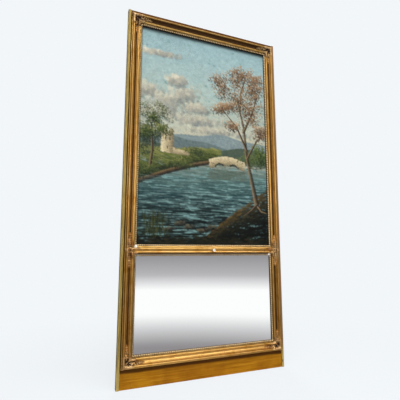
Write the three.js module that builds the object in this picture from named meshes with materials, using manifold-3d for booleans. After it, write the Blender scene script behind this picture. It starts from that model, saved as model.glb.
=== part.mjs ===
// Trumeau mirror: one tall gilt frame that holds an oil painting above a looking glass.
// Millimetres. +X is to the viewer's right, +Z is up and the front faces -Y.
// The origin is the middle of the bottom board's underside.

import * as THREE from 'three';
import { mergeVertices } from 'three/addons/utils/BufferGeometryUtils.js';
import Module from 'manifold-3d';

const wasm = await Module();
wasm.setup();

// ---------------------------------------------------------------- driving dimensions

// The whole frame.
const FRAME_HEIGHT = 1600;
const FRAME_WIDTH = 760;
const SEAT_GAP = 0.3; // left between two pieces that touch

// Boards behind the mouldings.
const BOARD_THICKNESS = 18;
const STILE_WIDTH = 44;
const REBATE_LAP = 7.5; // how far the sight edge stands over the opening behind it
const TENON_LENGTH = 26;
const TENON_THICKNESS = 6;
const TENON_SHOULDER = 8;

// Laths nailed along the outer sides.
const LATH_WIDTH = 12;
const LATH_PROUD = 3; // in front of the boards

// Mouldings. Widths run inwards from the frame's outer edge, heights forwards from the boards.
const MOULDING_START = 14; // outer side of the side mouldings
const TOP_MARGIN = 2; // extra plain board above the top moulding
const PLAIN_BOARD_HEIGHT = 75; // plain board below the bottom moulding
const OUTER_BEAD_RADIUS = 3;
const OUTER_BEAD_HEIGHT = 10.5;
const MAIN_BEAD_RADIUS = 4;
const MAIN_BEAD_HEIGHT = 18;
const COVE_WIDTH = 14.5;
const COVE_FLOOR = 4.5;
const ROLL_RADIUS = 5.5;
const ROLL_HEIGHT = 10.5;
const QUIRK_WIDTH = 3; // flat step between the roll and the sight strip
const QUIRK_HEIGHT = 3;

// Middle moulding between painting and glass.
const MIDDLE_SIGHT_HEIGHT = 506; // top of the visible glass
const MIDDLE_WIDTH = 47.4; // from sight edge to sight edge
const MIDDLE_BEAD_RADIUS = 3.3;
const MIDDLE_BEAD_HEIGHT = 8.3;
const MIDDLE_COVE_FLOOR = 2.5;

// Sight strips round the two openings.
const STRIP_WIDTH = 6.5;
const STRIP_HEIGHT = 7;
const STRIP_LIP_HEIGHT = 4.5;
const STRIP_CROWN = 0.8; // how far across the strip stays full

// Canvas and stretcher.
const CANVAS_SETBACK = 2; // canvas front behind the boards' front face
const CANVAS_THICKNESS = 1.2;
const CANVAS_CLEARANCE = 1.5; // between its turned edges and the boards, at the sides and top
const CANVAS_TURNOVER = 12; // how far back its edges are turned along the stretcher's sides
const STRETCHER_WIDTH = 45;
const CROSS_BAR_TENON = 12;
const CROSS_BAR_TENON_THICKNESS = 5;

// Stretcher keys.
const KEY_LENGTH = 24;
const KEY_TIP_WIDTH = 13;
const KEY_BACK_WIDTH = 19;
const KEY_THICKNESS = 3;
const KEY_SLOT_DEPTH = 11;
const KEY_FROM_CORNER = 3;

// Glass and its backboard.
const GLASS_THICKNESS = 4;
const GLASS_CLEARANCE = 1.5;

// Turn buttons and their screws.
const BUTTON_LONG_END = 26; // from the screw, over the piece it holds
const BUTTON_SHORT_END = 9;
const BUTTON_WIDTH = 14;
const BUTTON_THICKNESS = 2.5;
const BUTTON_SCREW_INSET = 10; // from the stile's inner edge
const BUTTON_SHARE_LOW = 0.18; // places along the painting's height
const BUTTON_SHARE_HIGH = 0.82;
const SCREW_RADIUS = 1.8;
const SCREW_HEAD_RADIUS = 4;
const SCREW_HEAD_HEIGHT = 2.2;
const SCREW_DEPTH = 11; // in the stile
const SCREW_SLOT_WIDTH = 1;
const SCREW_SLOT_DEPTH = 0.9;
const SCREW_TIP_RADIUS = 0.7;
const SCREW_TAPER = 5.4;
const SCREW_HEAD_SHOULDER = [3.2, 1.3]; // radius and height where the dome starts to round in

// Screw eyes and hanging rings.
const EYE_DROP = 150; // below the top of the frame
const EYE_RADIUS = 6.5;
const EYE_WIRE_RADIUS = 1.6;
const EYE_SHANK_RADIUS = 1.6;
const EYE_DEPTH = 12; // in the stile
const RING_RADIUS = 14;
const RING_WIRE_RADIUS = 1.4;

// Leaf ornaments, pressed from composition. Lengths and widths are half sizes.
const LEAF_RISE = 3.5; // above the moulding's surface
const LEAF_SINK = 2; // a leaf's middle below that surface
const LONG_LEAF = 15;
const SHORT_LEAF = 10;
const WIDE_LEAF = 7;
const SLIM_LEAF = 5.5;
const FLOWER_RADIUS = 10;
const SPRAY_LEAVES = 5;
const SPRAY_PITCH = 13;
const SPRAY_WIDTH = 6.5;
const SPRAY_LEAF = 9.75;
const SPRAY_TAPER = 7; // the leaves narrow as if there were this many in a whole spray
const SKIN_THICKNESS = 1.5;

// Button on the middle moulding. Its heights run forwards from the moulding's roll.
const ROSETTE_OFFSET = 28; // to the right of the frame's middle
const ROSETTE_RADIUS = 6.5;
const ROSETTE_RIM = -1;
const ROSETTE_CROWN_RADIUS = 4.5;
const ROSETTE_CROWN = 1.5;
const ROSETTE_DIP = 0.75;

// ---------------------------------------------------------------- places that follow

const HALF_WIDTH = FRAME_WIDTH / 2;
const FRONT = -BOARD_THICKNESS / 2;
const BACK = BOARD_THICKNESS / 2;

const BEAD_START = MOULDING_START + 2 * OUTER_BEAD_RADIUS;
const BEAD_CENTRE = BEAD_START + MAIN_BEAD_RADIUS;
const COVE_START = BEAD_START + 2 * MAIN_BEAD_RADIUS;
const ROLL_START = COVE_START + COVE_WIDTH;
const ROLL_CENTRE = ROLL_START + ROLL_RADIUS;
const QUIRK_START = ROLL_START + 2 * ROLL_RADIUS;
const MOULDING_END = QUIRK_START + QUIRK_WIDTH;
const SIGHT_INSET = MOULDING_END + STRIP_WIDTH;
const COVE_CENTRE = COVE_START + COVE_WIDTH / 2;
const COVE_RISE = MAIN_BEAD_HEIGHT - MAIN_BEAD_RADIUS - COVE_FLOOR;
const COVE_MIDDLE_HEIGHT = COVE_FLOOR + COVE_RISE / 6; // the curve is that high half-way across

// How far leaf sprays run from the frame's outer corner, and the room that ornaments need.
const SPRAY_REACH = COVE_CENTRE + (SPRAY_LEAVES + 0.5) * SPRAY_PITCH;
const ORNAMENT_REACH = SPRAY_REACH + 2 * SPRAY_PITCH;
const ORNAMENT_DEPTH = 2 * (MAIN_BEAD_HEIGHT + LONG_LEAF);

// The rectangle that the four outer mouldings are measured from.
const RECT_BOTTOM = PLAIN_BOARD_HEIGHT - MOULDING_START;
const RECT_TOP = FRAME_HEIGHT - TOP_MARGIN;

// Edges of the two sights, and of the openings in the boards behind them.
const GLASS_SIGHT_BOTTOM = RECT_BOTTOM + SIGHT_INSET;
const GLASS_SIGHT_TOP = MIDDLE_SIGHT_HEIGHT;
const PAINTING_SIGHT_BOTTOM = MIDDLE_SIGHT_HEIGHT + MIDDLE_WIDTH;
const PAINTING_SIGHT_TOP = RECT_TOP - SIGHT_INSET;
const STILE_INNER = LATH_WIDTH + STILE_WIDTH;
const OPENING_HALF = HALF_WIDTH - STILE_INNER;
const BOTTOM_BOARD_TOP = GLASS_SIGHT_BOTTOM - REBATE_LAP;
const MIDDLE_RAIL_BOTTOM = GLASS_SIGHT_TOP + REBATE_LAP;
const MIDDLE_RAIL_TOP = PAINTING_SIGHT_BOTTOM - REBATE_LAP;
const TOP_RAIL_BOTTOM = PAINTING_SIGHT_TOP + REBATE_LAP;

// Layers from front to back.
const CANVAS_FRONT = FRONT + CANVAS_SETBACK;
const STRETCHER_FRONT = CANVAS_FRONT + CANVAS_THICKNESS + SEAT_GAP;
const STRETCHER_THICKNESS = BACK - STRETCHER_FRONT;
const STRETCHER_MIDDLE = STRETCHER_FRONT + STRETCHER_THICKNESS / 2;
const GLASS_FRONT = FRONT + SEAT_GAP;
const GLASS_BACK = GLASS_FRONT + GLASS_THICKNESS;
const PLANK_FRONT = GLASS_BACK + SEAT_GAP;
const BUTTON_FRONT = BACK + SEAT_GAP;
const SCREW_HEAD_FRONT = BUTTON_FRONT + BUTTON_THICKNESS + SEAT_GAP;
const EYE_CENTRE_Y = BACK + SEAT_GAP + EYE_WIRE_RADIUS + EYE_RADIUS;

// Painting pieces. The stretcher sits inside the canvas's turned edges.
const CANVAS_BOTTOM = MIDDLE_RAIL_TOP + SEAT_GAP;
const CANVAS_TOP = TOP_RAIL_BOTTOM - CANVAS_CLEARANCE;
const CANVAS_HALF = OPENING_HALF - CANVAS_CLEARANCE;
const CANVAS_LINING = CANVAS_THICKNESS + SEAT_GAP;
const STRETCHER_BOTTOM = CANVAS_BOTTOM + CANVAS_LINING;
const STRETCHER_TOP = CANVAS_TOP - CANVAS_LINING;
const STRETCHER_HALF = CANVAS_HALF - CANVAS_LINING;
const CROSS_BAR_HEIGHT = (STRETCHER_BOTTOM + STRETCHER_TOP) / 2;

// Glass pieces.
const GLASS_BOTTOM = BOTTOM_BOARD_TOP + SEAT_GAP;
const GLASS_TOP = MIDDLE_RAIL_BOTTOM - GLASS_CLEARANCE;
const GLASS_HALF = OPENING_HALF - GLASS_CLEARANCE;
const PLANK_JOINT = (GLASS_BOTTOM + GLASS_TOP) / 2;

// Hardware on the stiles' backs.
const SCREW_X = OPENING_HALF + BUTTON_SCREW_INSET;
const PAINTING_OPENING = TOP_RAIL_BOTTOM - MIDDLE_RAIL_TOP;
const BUTTON_HEIGHTS = {
  lower: MIDDLE_RAIL_TOP + BUTTON_SHARE_LOW * PAINTING_OPENING,
  upper: MIDDLE_RAIL_TOP + BUTTON_SHARE_HIGH * PAINTING_OPENING,
  glass: PLANK_JOINT,
};
const EYE_X = HALF_WIDTH - LATH_WIDTH - STILE_WIDTH / 2;
const EYE_Z = FRAME_HEIGHT - EYE_DROP;
const RING_HINGE_Z = EYE_Z - (EYE_RADIUS - EYE_WIRE_RADIUS - RING_WIRE_RADIUS - SEAT_GAP);

// ---------------------------------------------------------------- facets

const ARC_STEPS = 3; // half as many as the facets of a half round
const WIRE_SIDES = 8;
const RING_STEPS = 30;
const EYE_STEPS = 18;
const SCREW_SIDES = 12;
const LEAF_AROUND = 6;
const LEAF_RINGS = 4;
const SKIN_SIDES = 8;
const MERGE_DISTANCE = 1e-4;

// ---------------------------------------------------------------- materials

const finish = (color, metalness, roughness) => () =>
  new THREE.MeshStandardMaterial({ color, metalness, roughness });
const gilding = finish('#a8762e', 0.6, 0.42);
const leafGilding = finish('#b58a4c', 0.55, 0.5);
const boardPaint = finish('#8c5c16', 0.0, 0.6);
const lathPaint = finish('#b39a58', 0.0, 0.7);
const rawPine = finish('#a27a4a', 0.0, 0.8);
const oilPaint = finish('#5f8077', 0.0, 0.5);
const silveredGlass = finish('#dfe3e4', 1.0, 0.05);
const dullBrass = finish('#9a7b3c', 0.9, 0.45);
const dullSteel = finish('#6f6a62', 0.9, 0.5);
const bone = finish('#d9c39a', 0.0, 0.5);

// ---------------------------------------------------------------- solids

// A closed solid that can be joined and cut, from any closed geometry.
function solid(geometry) {
  const bare = geometry.clone();
  bare.deleteAttribute('normal');
  bare.deleteAttribute('uv');
  const merged = mergeVertices(bare, MERGE_DISTANCE);
  const vertProperties = new Float32Array(merged.attributes.position.array);
  const triVerts = new Uint32Array(merged.index.array);
  return new wasm.Manifold(new wasm.Mesh({ numProp: 3, vertProperties, triVerts }));
}

function geometryOf(manifold) {
  const mesh = manifold.getMesh();
  const geometry = new THREE.BufferGeometry();
  geometry.setAttribute('position', new THREE.BufferAttribute(mesh.vertProperties, 3));
  geometry.setIndex(new THREE.BufferAttribute(mesh.triVerts, 1));
  geometry.computeVertexNormals();
  return geometry;
}

function cut(geometry, cutters) {
  return geometryOf(cutters.reduce((left, cutter) => left.subtract(solid(cutter)), solid(geometry)));
}

function join(geometries) {
  return geometryOf(geometries.map(solid).reduce((sum, next) => sum.add(next)));
}

// A box between two corners.
function block(low, high) {
  const size = high.map((value, axis) => value - low[axis]);
  const middle = high.map((value, axis) => (value + low[axis]) / 2);
  return new THREE.BoxGeometry(...size).translate(...middle);
}

// A round bar or hole along Y.
function rod(radius, x, z, fromY, toY) {
  const bar = new THREE.CylinderGeometry(radius, radius, toY - fromY, SCREW_SIDES);
  return bar.translate(x, (fromY + toY) / 2, z);
}

const model = new THREE.Group();

function piece(name, geometry, material) {
  const mesh = new THREE.Mesh(geometry, material());
  mesh.name = name;
  model.add(mesh);
  return mesh;
}

// ---------------------------------------------------------------- boards

function tenons(halfLength, bottom, top) {
  const reach = halfLength + TENON_LENGTH;
  const half = TENON_THICKNESS / 2;
  return block([-reach, -half, bottom + TENON_SHOULDER], [reach, half, top - TENON_SHOULDER]);
}

function mortise(side, bottom, top) {
  const half = TENON_THICKNESS / 2 + SEAT_GAP;
  const low = OPENING_HALF - 1;
  const high = OPENING_HALF + TENON_LENGTH + SEAT_GAP;
  return block(
    [side > 0 ? low : -high, -half, bottom + TENON_SHOULDER - SEAT_GAP],
    [side > 0 ? high : -low, half, top - TENON_SHOULDER + SEAT_GAP]
  );
}

const RAILS = {
  top_rail: [TOP_RAIL_BOTTOM, FRAME_HEIGHT],
  middle_rail: [MIDDLE_RAIL_BOTTOM, MIDDLE_RAIL_TOP],
  bottom_board: [0, BOTTOM_BOARD_TOP],
};

function stile(side) {
  const inner = OPENING_HALF;
  const outer = HALF_WIDTH - LATH_WIDTH;
  const board = block(
    [side > 0 ? inner : -outer, FRONT, 0],
    [side > 0 ? outer : -inner, BACK, FRAME_HEIGHT]
  );
  const mortises = Object.values(RAILS).map(([bottom, top]) => mortise(side, bottom, top));
  const screwHoles = Object.values(BUTTON_HEIGHTS).map((z) =>
    rod(SCREW_RADIUS + SEAT_GAP, side * SCREW_X, z, BACK - SCREW_DEPTH - SEAT_GAP, BACK + 1)
  );
  const eyeHole = rod(
    EYE_SHANK_RADIUS + SEAT_GAP, side * EYE_X, EYE_Z, BACK - EYE_DEPTH - SEAT_GAP, BACK + 1
  );
  return cut(board, [...mortises, ...screwHoles, eyeHole]);
}

function rail(bottom, top) {
  const half = OPENING_HALF - SEAT_GAP;
  return join([block([-half, FRONT, bottom], [half, BACK, top]), tenons(half, bottom, top)]);
}

function lath(side) {
  const inner = HALF_WIDTH - LATH_WIDTH + SEAT_GAP;
  return block(
    [side > 0 ? inner : -HALF_WIDTH, FRONT - LATH_PROUD, 0],
    [side > 0 ? HALF_WIDTH : -inner, BACK, FRAME_HEIGHT]
  );
}

piece('left_stile', stile(-1), boardPaint);
piece('right_stile', stile(1), boardPaint);
for (const [name, [bottom, top]] of Object.entries(RAILS)) {
  piece(name, rail(bottom, top), boardPaint);
}
piece('left_edge_lath', lath(-1), lathPaint);
piece('right_edge_lath', lath(1), lathPaint);

// ---------------------------------------------------------------- mouldings

// Half round from the left of its centre to its end, in a profile of widths and heights.
function halfRound(shape, centre, top, radius, end = centre + radius) {
  const endAngle = Math.acos(Math.min(1, (end - centre) / radius));
  shape.lineTo(centre - radius, top - radius);
  shape.absarc(centre, top - radius, radius, Math.PI, endAngle, true);
}

// Outer moulding's section. grow swells it all round, for what has to clear it.
function outerProfile(grow = 0) {
  const shape = new THREE.Shape();
  shape.moveTo(MOULDING_START - grow, SEAT_GAP - grow);
  halfRound(
    shape, MOULDING_START + OUTER_BEAD_RADIUS, OUTER_BEAD_HEIGHT + grow,
    OUTER_BEAD_RADIUS + grow, BEAD_START - grow
  );
  halfRound(shape, BEAD_CENTRE, MAIN_BEAD_HEIGHT + grow, MAIN_BEAD_RADIUS + grow);
  shape.quadraticCurveTo(
    COVE_START + COVE_WIDTH / 4, COVE_FLOOR + grow,
    ROLL_START - grow, COVE_FLOOR + grow
  );
  halfRound(shape, ROLL_CENTRE, ROLL_HEIGHT + grow, ROLL_RADIUS + grow);
  shape.lineTo(QUIRK_START + grow, QUIRK_HEIGHT + grow);
  shape.lineTo(MOULDING_END + grow, QUIRK_HEIGHT + grow);
  shape.lineTo(MOULDING_END + grow, SEAT_GAP - grow);
  return shape;
}

const MIDDLE_BODY = MIDDLE_WIDTH - 2 * STRIP_WIDTH;

// Middle moulding's section, with widths from its upper edge downwards.
function middleProfile(grow = 0) {
  const shape = new THREE.Shape();
  const beadCentre = MIDDLE_BODY - QUIRK_WIDTH - MIDDLE_BEAD_RADIUS;
  const rollCentre = QUIRK_WIDTH + ROLL_RADIUS;
  const beadStart = beadCentre - MIDDLE_BEAD_RADIUS - grow;
  shape.moveTo(-grow, SEAT_GAP - grow);
  shape.lineTo(-grow, QUIRK_HEIGHT + grow);
  shape.lineTo(QUIRK_WIDTH - grow, QUIRK_HEIGHT + grow);
  halfRound(shape, rollCentre, ROLL_HEIGHT + grow, ROLL_RADIUS + grow);
  shape.quadraticCurveTo(
    (rollCentre + ROLL_RADIUS + beadStart) / 2, MIDDLE_COVE_FLOOR + grow,
    beadStart, MIDDLE_BEAD_HEIGHT - MIDDLE_BEAD_RADIUS
  );
  halfRound(shape, beadCentre, MIDDLE_BEAD_HEIGHT + grow, MIDDLE_BEAD_RADIUS + grow);
  shape.lineTo(beadCentre + MIDDLE_BEAD_RADIUS + grow, QUIRK_HEIGHT + grow);
  shape.lineTo(MIDDLE_BODY + grow, QUIRK_HEIGHT + grow);
  shape.lineTo(MIDDLE_BODY + grow, SEAT_GAP - grow);
  return shape;
}

// Sight strip's section, from where it meets the moulding to the sight edge.
function stripProfile(backHeight, grow = 0) {
  const shape = new THREE.Shape();
  shape.moveTo(SEAT_GAP - grow, backHeight - grow);
  shape.lineTo(SEAT_GAP - grow, STRIP_HEIGHT + grow);
  shape.quadraticCurveTo(
    STRIP_WIDTH * STRIP_CROWN, STRIP_HEIGHT + grow,
    STRIP_WIDTH + grow, STRIP_LIP_HEIGHT + grow
  );
  shape.lineTo(STRIP_WIDTH + grow, backHeight - grow);
  return shape;
}

// A straight bar of a section. A mitred end is sheared by its distance inwards, so that it
// meets its neighbour at 45 degrees; a square end stays as it is.
function bar(profile, length, { mitreStart = false, mitreEnd = false, gap = 0 } = {}) {
  const geometry = new THREE.ExtrudeGeometry(profile, {
    depth: length, steps: 1, bevelEnabled: false, curveSegments: ARC_STEPS,
  });
  const position = geometry.attributes.position;
  for (let index = 0; index < position.count; index += 1) {
    const inward = position.getX(index) + gap / 2;
    const along = position.getZ(index);
    if (along < length / 2 && mitreStart) position.setZ(index, inward);
    if (along > length / 2 && mitreEnd) position.setZ(index, length - inward);
  }
  return geometry;
}

// The four sides of a rectangle on the frame's face. Each has the corner that its bar starts
// from, the way inwards, the way along and its length.
function sidesOf(left, right, bottom, top) {
  const width = right - left;
  const height = top - bottom;
  return {
    top: { at: [right, top], inward: [0, -1], along: [-1, 0], length: width },
    left: { at: [left, top], inward: [1, 0], along: [0, -1], length: height },
    right: { at: [right, bottom], inward: [-1, 0], along: [0, 1], length: height },
    bottom: { at: [left, bottom], inward: [0, 1], along: [1, 0], length: width },
  };
}

const FORWARD = new THREE.Vector3(0, -1, 0);

function sideMatrix({ at, inward, along }, y) {
  const matrix = new THREE.Matrix4().makeBasis(
    new THREE.Vector3(inward[0], 0, inward[1]),
    FORWARD,
    new THREE.Vector3(along[0], 0, along[1])
  );
  return matrix.setPosition(at[0], y, at[1]);
}

function place(mesh, side, y) {
  mesh.applyMatrix4(sideMatrix(side, y));
}

const MITRED = { mitreStart: true, mitreEnd: true, gap: SEAT_GAP };
const MOULDING_SIDES = sidesOf(-HALF_WIDTH, HALF_WIDTH, RECT_BOTTOM, RECT_TOP);

for (const [name, side] of Object.entries(MOULDING_SIDES)) {
  const geometry = bar(outerProfile(), side.length, MITRED);
  place(piece(`${name}_moulding`, geometry, gilding), side, FRONT);
}

const MIDDLE_HALF = HALF_WIDTH - MOULDING_END - SEAT_GAP;
const MIDDLE_SIDE = {
  at: [MIDDLE_HALF, PAINTING_SIGHT_BOTTOM - STRIP_WIDTH],
  inward: [0, -1],
  along: [-1, 0],
  length: 2 * MIDDLE_HALF,
};
place(
  piece('middle_moulding', bar(middleProfile(), MIDDLE_SIDE.length), gilding), MIDDLE_SIDE, FRONT
);

// ---------------------------------------------------------------- sight strips

const STRIP_OUTER = HALF_WIDTH - MOULDING_END;
const SIGHTS = {
  painting: {
    sides: sidesOf(
      -STRIP_OUTER, STRIP_OUTER, PAINTING_SIGHT_BOTTOM - STRIP_WIDTH, RECT_TOP - MOULDING_END
    ),
    back: FRONT - CANVAS_FRONT + SEAT_GAP,
  },
  glass: {
    sides: sidesOf(
      -STRIP_OUTER, STRIP_OUTER, RECT_BOTTOM + MOULDING_END, GLASS_SIGHT_TOP + STRIP_WIDTH
    ),
    back: SEAT_GAP - (GLASS_FRONT - FRONT),
  },
};

for (const [sight, { sides, back }] of Object.entries(SIGHTS)) {
  for (const [name, side] of Object.entries(sides)) {
    const geometry = bar(stripProfile(back), side.length, MITRED);
    place(piece(`${sight}_sight_${name}`, geometry, leafGilding), side, FRONT);
  }
}

// ---------------------------------------------------------------- leaf ornaments

// One leaf: an egg shape that lies along an angle on the face, in a frame of
// x and y on the face and z forwards.
function leaf(x, y, z, halfLength, halfWidth, halfHeight, angle) {
  return new THREE.SphereGeometry(1, LEAF_AROUND, LEAF_RINGS)
    .rotateX(Math.PI / 2)
    .scale(halfLength, halfWidth, halfHeight)
    .rotateZ(angle)
    .translate(x, y, z);
}

// A leaf that rises by LEAF_RISE from a surface of a given height.
function leafOn(surface, [x, y], halfLength, halfWidth, angle) {
  return leaf(x, y, surface - LEAF_SINK, halfLength, halfWidth, LEAF_RISE + LEAF_SINK, angle);
}

// A spray of narrowing leaves along a cove, from a distance outwards.
function spray(start, angle, toFace) {
  return Array.from({ length: SPRAY_LEAVES }, (_, index) => {
    const halfWidth = SPRAY_WIDTH * (1 - index / SPRAY_TAPER);
    const spot = toFace(start + index * SPRAY_PITCH, COVE_CENTRE);
    return leafOn(COVE_MIDDLE_HEIGHT, spot, SPRAY_LEAF, halfWidth, angle);
  });
}

function cylinderOnFace(x, y, radius) {
  return new THREE.CylinderGeometry(radius, radius, ORNAMENT_DEPTH, SKIN_SIDES)
    .rotateX(Math.PI / 2)
    .translate(x, y, 0);
}

// A strip of the face along a cove, for the skin under a spray.
function coveStrip(reach, toFace) {
  const [x, y] = toFace(reach / 2, COVE_CENTRE);
  const [across, along] = toFace(1, 0).map(Math.abs);
  const size = [across, along].map((part) => (part ? reach : SPRAY_WIDTH));
  return new THREE.BoxGeometry(...size, ORNAMENT_DEPTH).translate(x, y, 0);
}

// Leaves on a thin skin that follows what carries it. carriers(grow) gives swollen copies
// of the carriers, outline the skin's extent, and outside what the ornament keeps clear of.
function ornament(leaves, outline, carriers, outside) {
  const skin = solid(join(carriers(SEAT_GAP + SKIN_THICKNESS))).intersect(solid(join(outline)));
  const whole = skin.add(solid(join(leaves)));
  const trimmed = [...carriers(SEAT_GAP), ...outside].reduce(
    (left, cutter) => left.subtract(solid(cutter)), whole
  );
  return geometryOf(withoutPockets(trimmed));
}

// Only the outer body: a leaf over a hollow may seal a small pocket of air under it.
function withoutPockets(manifold) {
  const shells = manifold.decompose();
  return shells.reduce((largest, next) => (next.volume() > largest.volume() ? next : largest));
}

// Corner ornament, in a frame whose axes run from the frame's outer corner along both mouldings.
const alongX = (along, cross) => [along, cross];
const alongY = (along, cross) => [cross, along];
const DIAGONAL = Math.PI / 4;
const UPRIGHT = Math.PI / 2;

function cornerLeaves() {
  const middle = [COVE_CENTRE, COVE_CENTRE];
  const leaves = [
    leaf(...middle, COVE_MIDDLE_HEIGHT, FLOWER_RADIUS, FLOWER_RADIUS, FLOWER_RADIUS, 0),
    leafOn(MAIN_BEAD_HEIGHT, [BEAD_CENTRE, BEAD_CENTRE], LONG_LEAF, WIDE_LEAF, DIAGONAL),
    leafOn(ROLL_HEIGHT, [ROLL_CENTRE, ROLL_CENTRE], SHORT_LEAF, WIDE_LEAF, DIAGONAL),
  ];
  for (const toFace of [alongX, alongY]) {
    const angle = toFace === alongX ? 0 : UPRIGHT;
    const beside = COVE_CENTRE + FLOWER_RADIUS / 2;
    leaves.push(leafOn(MAIN_BEAD_HEIGHT, toFace(beside, BEAD_CENTRE), SHORT_LEAF, SLIM_LEAF, angle));
    leaves.push(leafOn(ROLL_HEIGHT, toFace(beside, ROLL_CENTRE), SHORT_LEAF, SLIM_LEAF, angle));
    leaves.push(...spray(COVE_CENTRE + SPRAY_PITCH, angle, toFace));
  }
  return leaves;
}

function mouldingsAtCorner(grow) {
  const profile = outerProfile(grow);
  const overlap = -2 * SEAT_GAP;
  const first = bar(profile, ORNAMENT_REACH, { mitreStart: true, gap: overlap });
  const second = bar(profile, ORNAMENT_REACH, { mitreEnd: true, gap: overlap });
  const x = new THREE.Vector3(1, 0, 0);
  const y = new THREE.Vector3(0, 1, 0);
  const z = new THREE.Vector3(0, 0, 1);
  first.applyMatrix4(new THREE.Matrix4().makeBasis(y, z, x));
  const turn = new THREE.Matrix4().makeBasis(x, z, y.clone().negate());
  second.applyMatrix4(turn.setPosition(0, ORNAMENT_REACH, 0));
  return [first, second];
}

// Everything behind the boards' face, and past the mouldings' outer sides.
function outsideCorner() {
  const far = 2 * ORNAMENT_REACH;
  const edge = MOULDING_START + SEAT_GAP;
  const deep = -ORNAMENT_DEPTH;
  return [
    block([-far, -far, deep], [far, far, SEAT_GAP]),
    block([-far, -far, deep], [edge, far, ORNAMENT_DEPTH]),
    block([-far, -far, deep], [far, edge, ORNAMENT_DEPTH]),
  ];
}

function cornerOrnament() {
  const outline = [
    cylinderOnFace(COVE_CENTRE, COVE_CENTRE, COVE_CENTRE - MOULDING_START),
    coveStrip(SPRAY_REACH, alongX),
    coveStrip(SPRAY_REACH, alongY),
  ];
  return ornament(cornerLeaves(), outline, mouldingsAtCorner, outsideCorner());
}

const CORNERS = {
  bottom_left: { at: [-HALF_WIDTH, RECT_BOTTOM], x: [1, 0], y: [0, 1] },
  bottom_right: { at: [HALF_WIDTH, RECT_BOTTOM], x: [0, 1], y: [-1, 0] },
  top_right: { at: [HALF_WIDTH, RECT_TOP], x: [-1, 0], y: [0, -1] },
  top_left: { at: [-HALF_WIDTH, RECT_TOP], x: [0, -1], y: [1, 0] },
};

function faceMatrix({ at, x, y }) {
  const matrix = new THREE.Matrix4().makeBasis(
    new THREE.Vector3(x[0], 0, x[1]), new THREE.Vector3(y[0], 0, y[1]), FORWARD
  );
  return matrix.setPosition(at[0], FRONT, at[1]);
}

for (const [name, corner] of Object.entries(CORNERS)) {
  const mesh = piece(`${name}_leaf_corner`, cornerOrnament(), leafGilding);
  mesh.applyMatrix4(faceMatrix(corner));
}

// Junction ornament where the middle moulding meets the left side moulding. x runs inwards
// from the frame's outer edge, y up from the middle moulding's middle, z forwards.
const MIDDLE_ROLL_OFFSET = MIDDLE_BODY / 2 - QUIRK_WIDTH - ROLL_RADIUS;

function junctionLeaves() {
  const leaves = [
    leaf(COVE_CENTRE, 0, COVE_MIDDLE_HEIGHT, FLOWER_RADIUS, FLOWER_RADIUS, FLOWER_RADIUS, 0),
    leafOn(ROLL_HEIGHT, [ROLL_CENTRE, 0], WIDE_LEAF, SHORT_LEAF, 0),
    leafOn(ROLL_HEIGHT, [ROLL_CENTRE + SHORT_LEAF, MIDDLE_ROLL_OFFSET], SHORT_LEAF, WIDE_LEAF, 0),
    leafOn(ROLL_HEIGHT, [ROLL_CENTRE + 2 * SHORT_LEAF, MIDDLE_ROLL_OFFSET], SHORT_LEAF, SLIM_LEAF, 0),
  ];
  for (const up of [1, -1]) {
    const climbing = (along, cross) => [cross, up * along];
    const beside = climbing(FLOWER_RADIUS, ROLL_CENTRE);
    leaves.push(leafOn(ROLL_HEIGHT, beside, SHORT_LEAF, SLIM_LEAF, UPRIGHT));
    leaves.push(...spray(SPRAY_PITCH, UPRIGHT, climbing));
  }
  return leaves;
}

// Side moulding and middle moulding in the junction's frame.
function mouldingsAtJunction(grow) {
  const x = new THREE.Vector3(1, 0, 0);
  const y = new THREE.Vector3(0, 1, 0);
  const z = new THREE.Vector3(0, 0, 1);
  const upright = bar(outerProfile(grow), 2 * ORNAMENT_REACH);
  const across = bar(middleProfile(grow), ORNAMENT_REACH);
  const uprightTurn = new THREE.Matrix4().makeBasis(x, z, y.clone().negate());
  const acrossTurn = new THREE.Matrix4().makeBasis(y.clone().negate(), z, x.clone().negate());
  upright.applyMatrix4(uprightTurn.setPosition(0, ORNAMENT_REACH, 0));
  across.applyMatrix4(acrossTurn.setPosition(ORNAMENT_REACH, MIDDLE_BODY / 2, 0));
  return [upright, across];
}

// What a junction ornament keeps clear of: the boards, the moulding's outer side and the
// strips above and below the middle moulding.
function outsideJunction() {
  const far = 2 * ORNAMENT_REACH;
  const sill = MIDDLE_BODY / 2 + SEAT_GAP;
  const inner = MOULDING_END + SEAT_GAP;
  return [
    block([-far, -far, -ORNAMENT_DEPTH], [far, far, SEAT_GAP]),
    block([-far, -far, -ORNAMENT_DEPTH], [MOULDING_START + SEAT_GAP, far, ORNAMENT_DEPTH]),
    block([inner, sill, -ORNAMENT_DEPTH], [far, far, ORNAMENT_DEPTH]),
    block([inner, -far, -ORNAMENT_DEPTH], [far, -sill, ORNAMENT_DEPTH]),
  ];
}

function junctionOrnament() {
  const outline = [
    cylinderOnFace(COVE_CENTRE, 0, COVE_CENTRE - MOULDING_START),
    coveStrip(SPRAY_REACH - COVE_CENTRE, alongY),
    coveStrip(SPRAY_REACH - COVE_CENTRE, (along, cross) => [cross, -along]),
    block(
      [COVE_CENTRE, MIDDLE_ROLL_OFFSET - ROLL_RADIUS, 0],
      [ROLL_CENTRE + 2 * SHORT_LEAF, MIDDLE_ROLL_OFFSET + ROLL_RADIUS, ORNAMENT_DEPTH]
    ),
  ];
  return ornament(junctionLeaves(), outline, mouldingsAtJunction, outsideJunction());
}

// The right junction is the left one's mirror image, with its faces turned to point out.
function mirroredAcross(geometry) {
  const mirrored = geometry.clone().scale(-1, 1, 1);
  const index = mirrored.index;
  for (let corner = 0; corner < index.count; corner += 3) {
    const first = index.getX(corner);
    index.setX(corner, index.getX(corner + 1));
    index.setX(corner + 1, first);
  }
  mirrored.computeVertexNormals();
  return mirrored;
}

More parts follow.
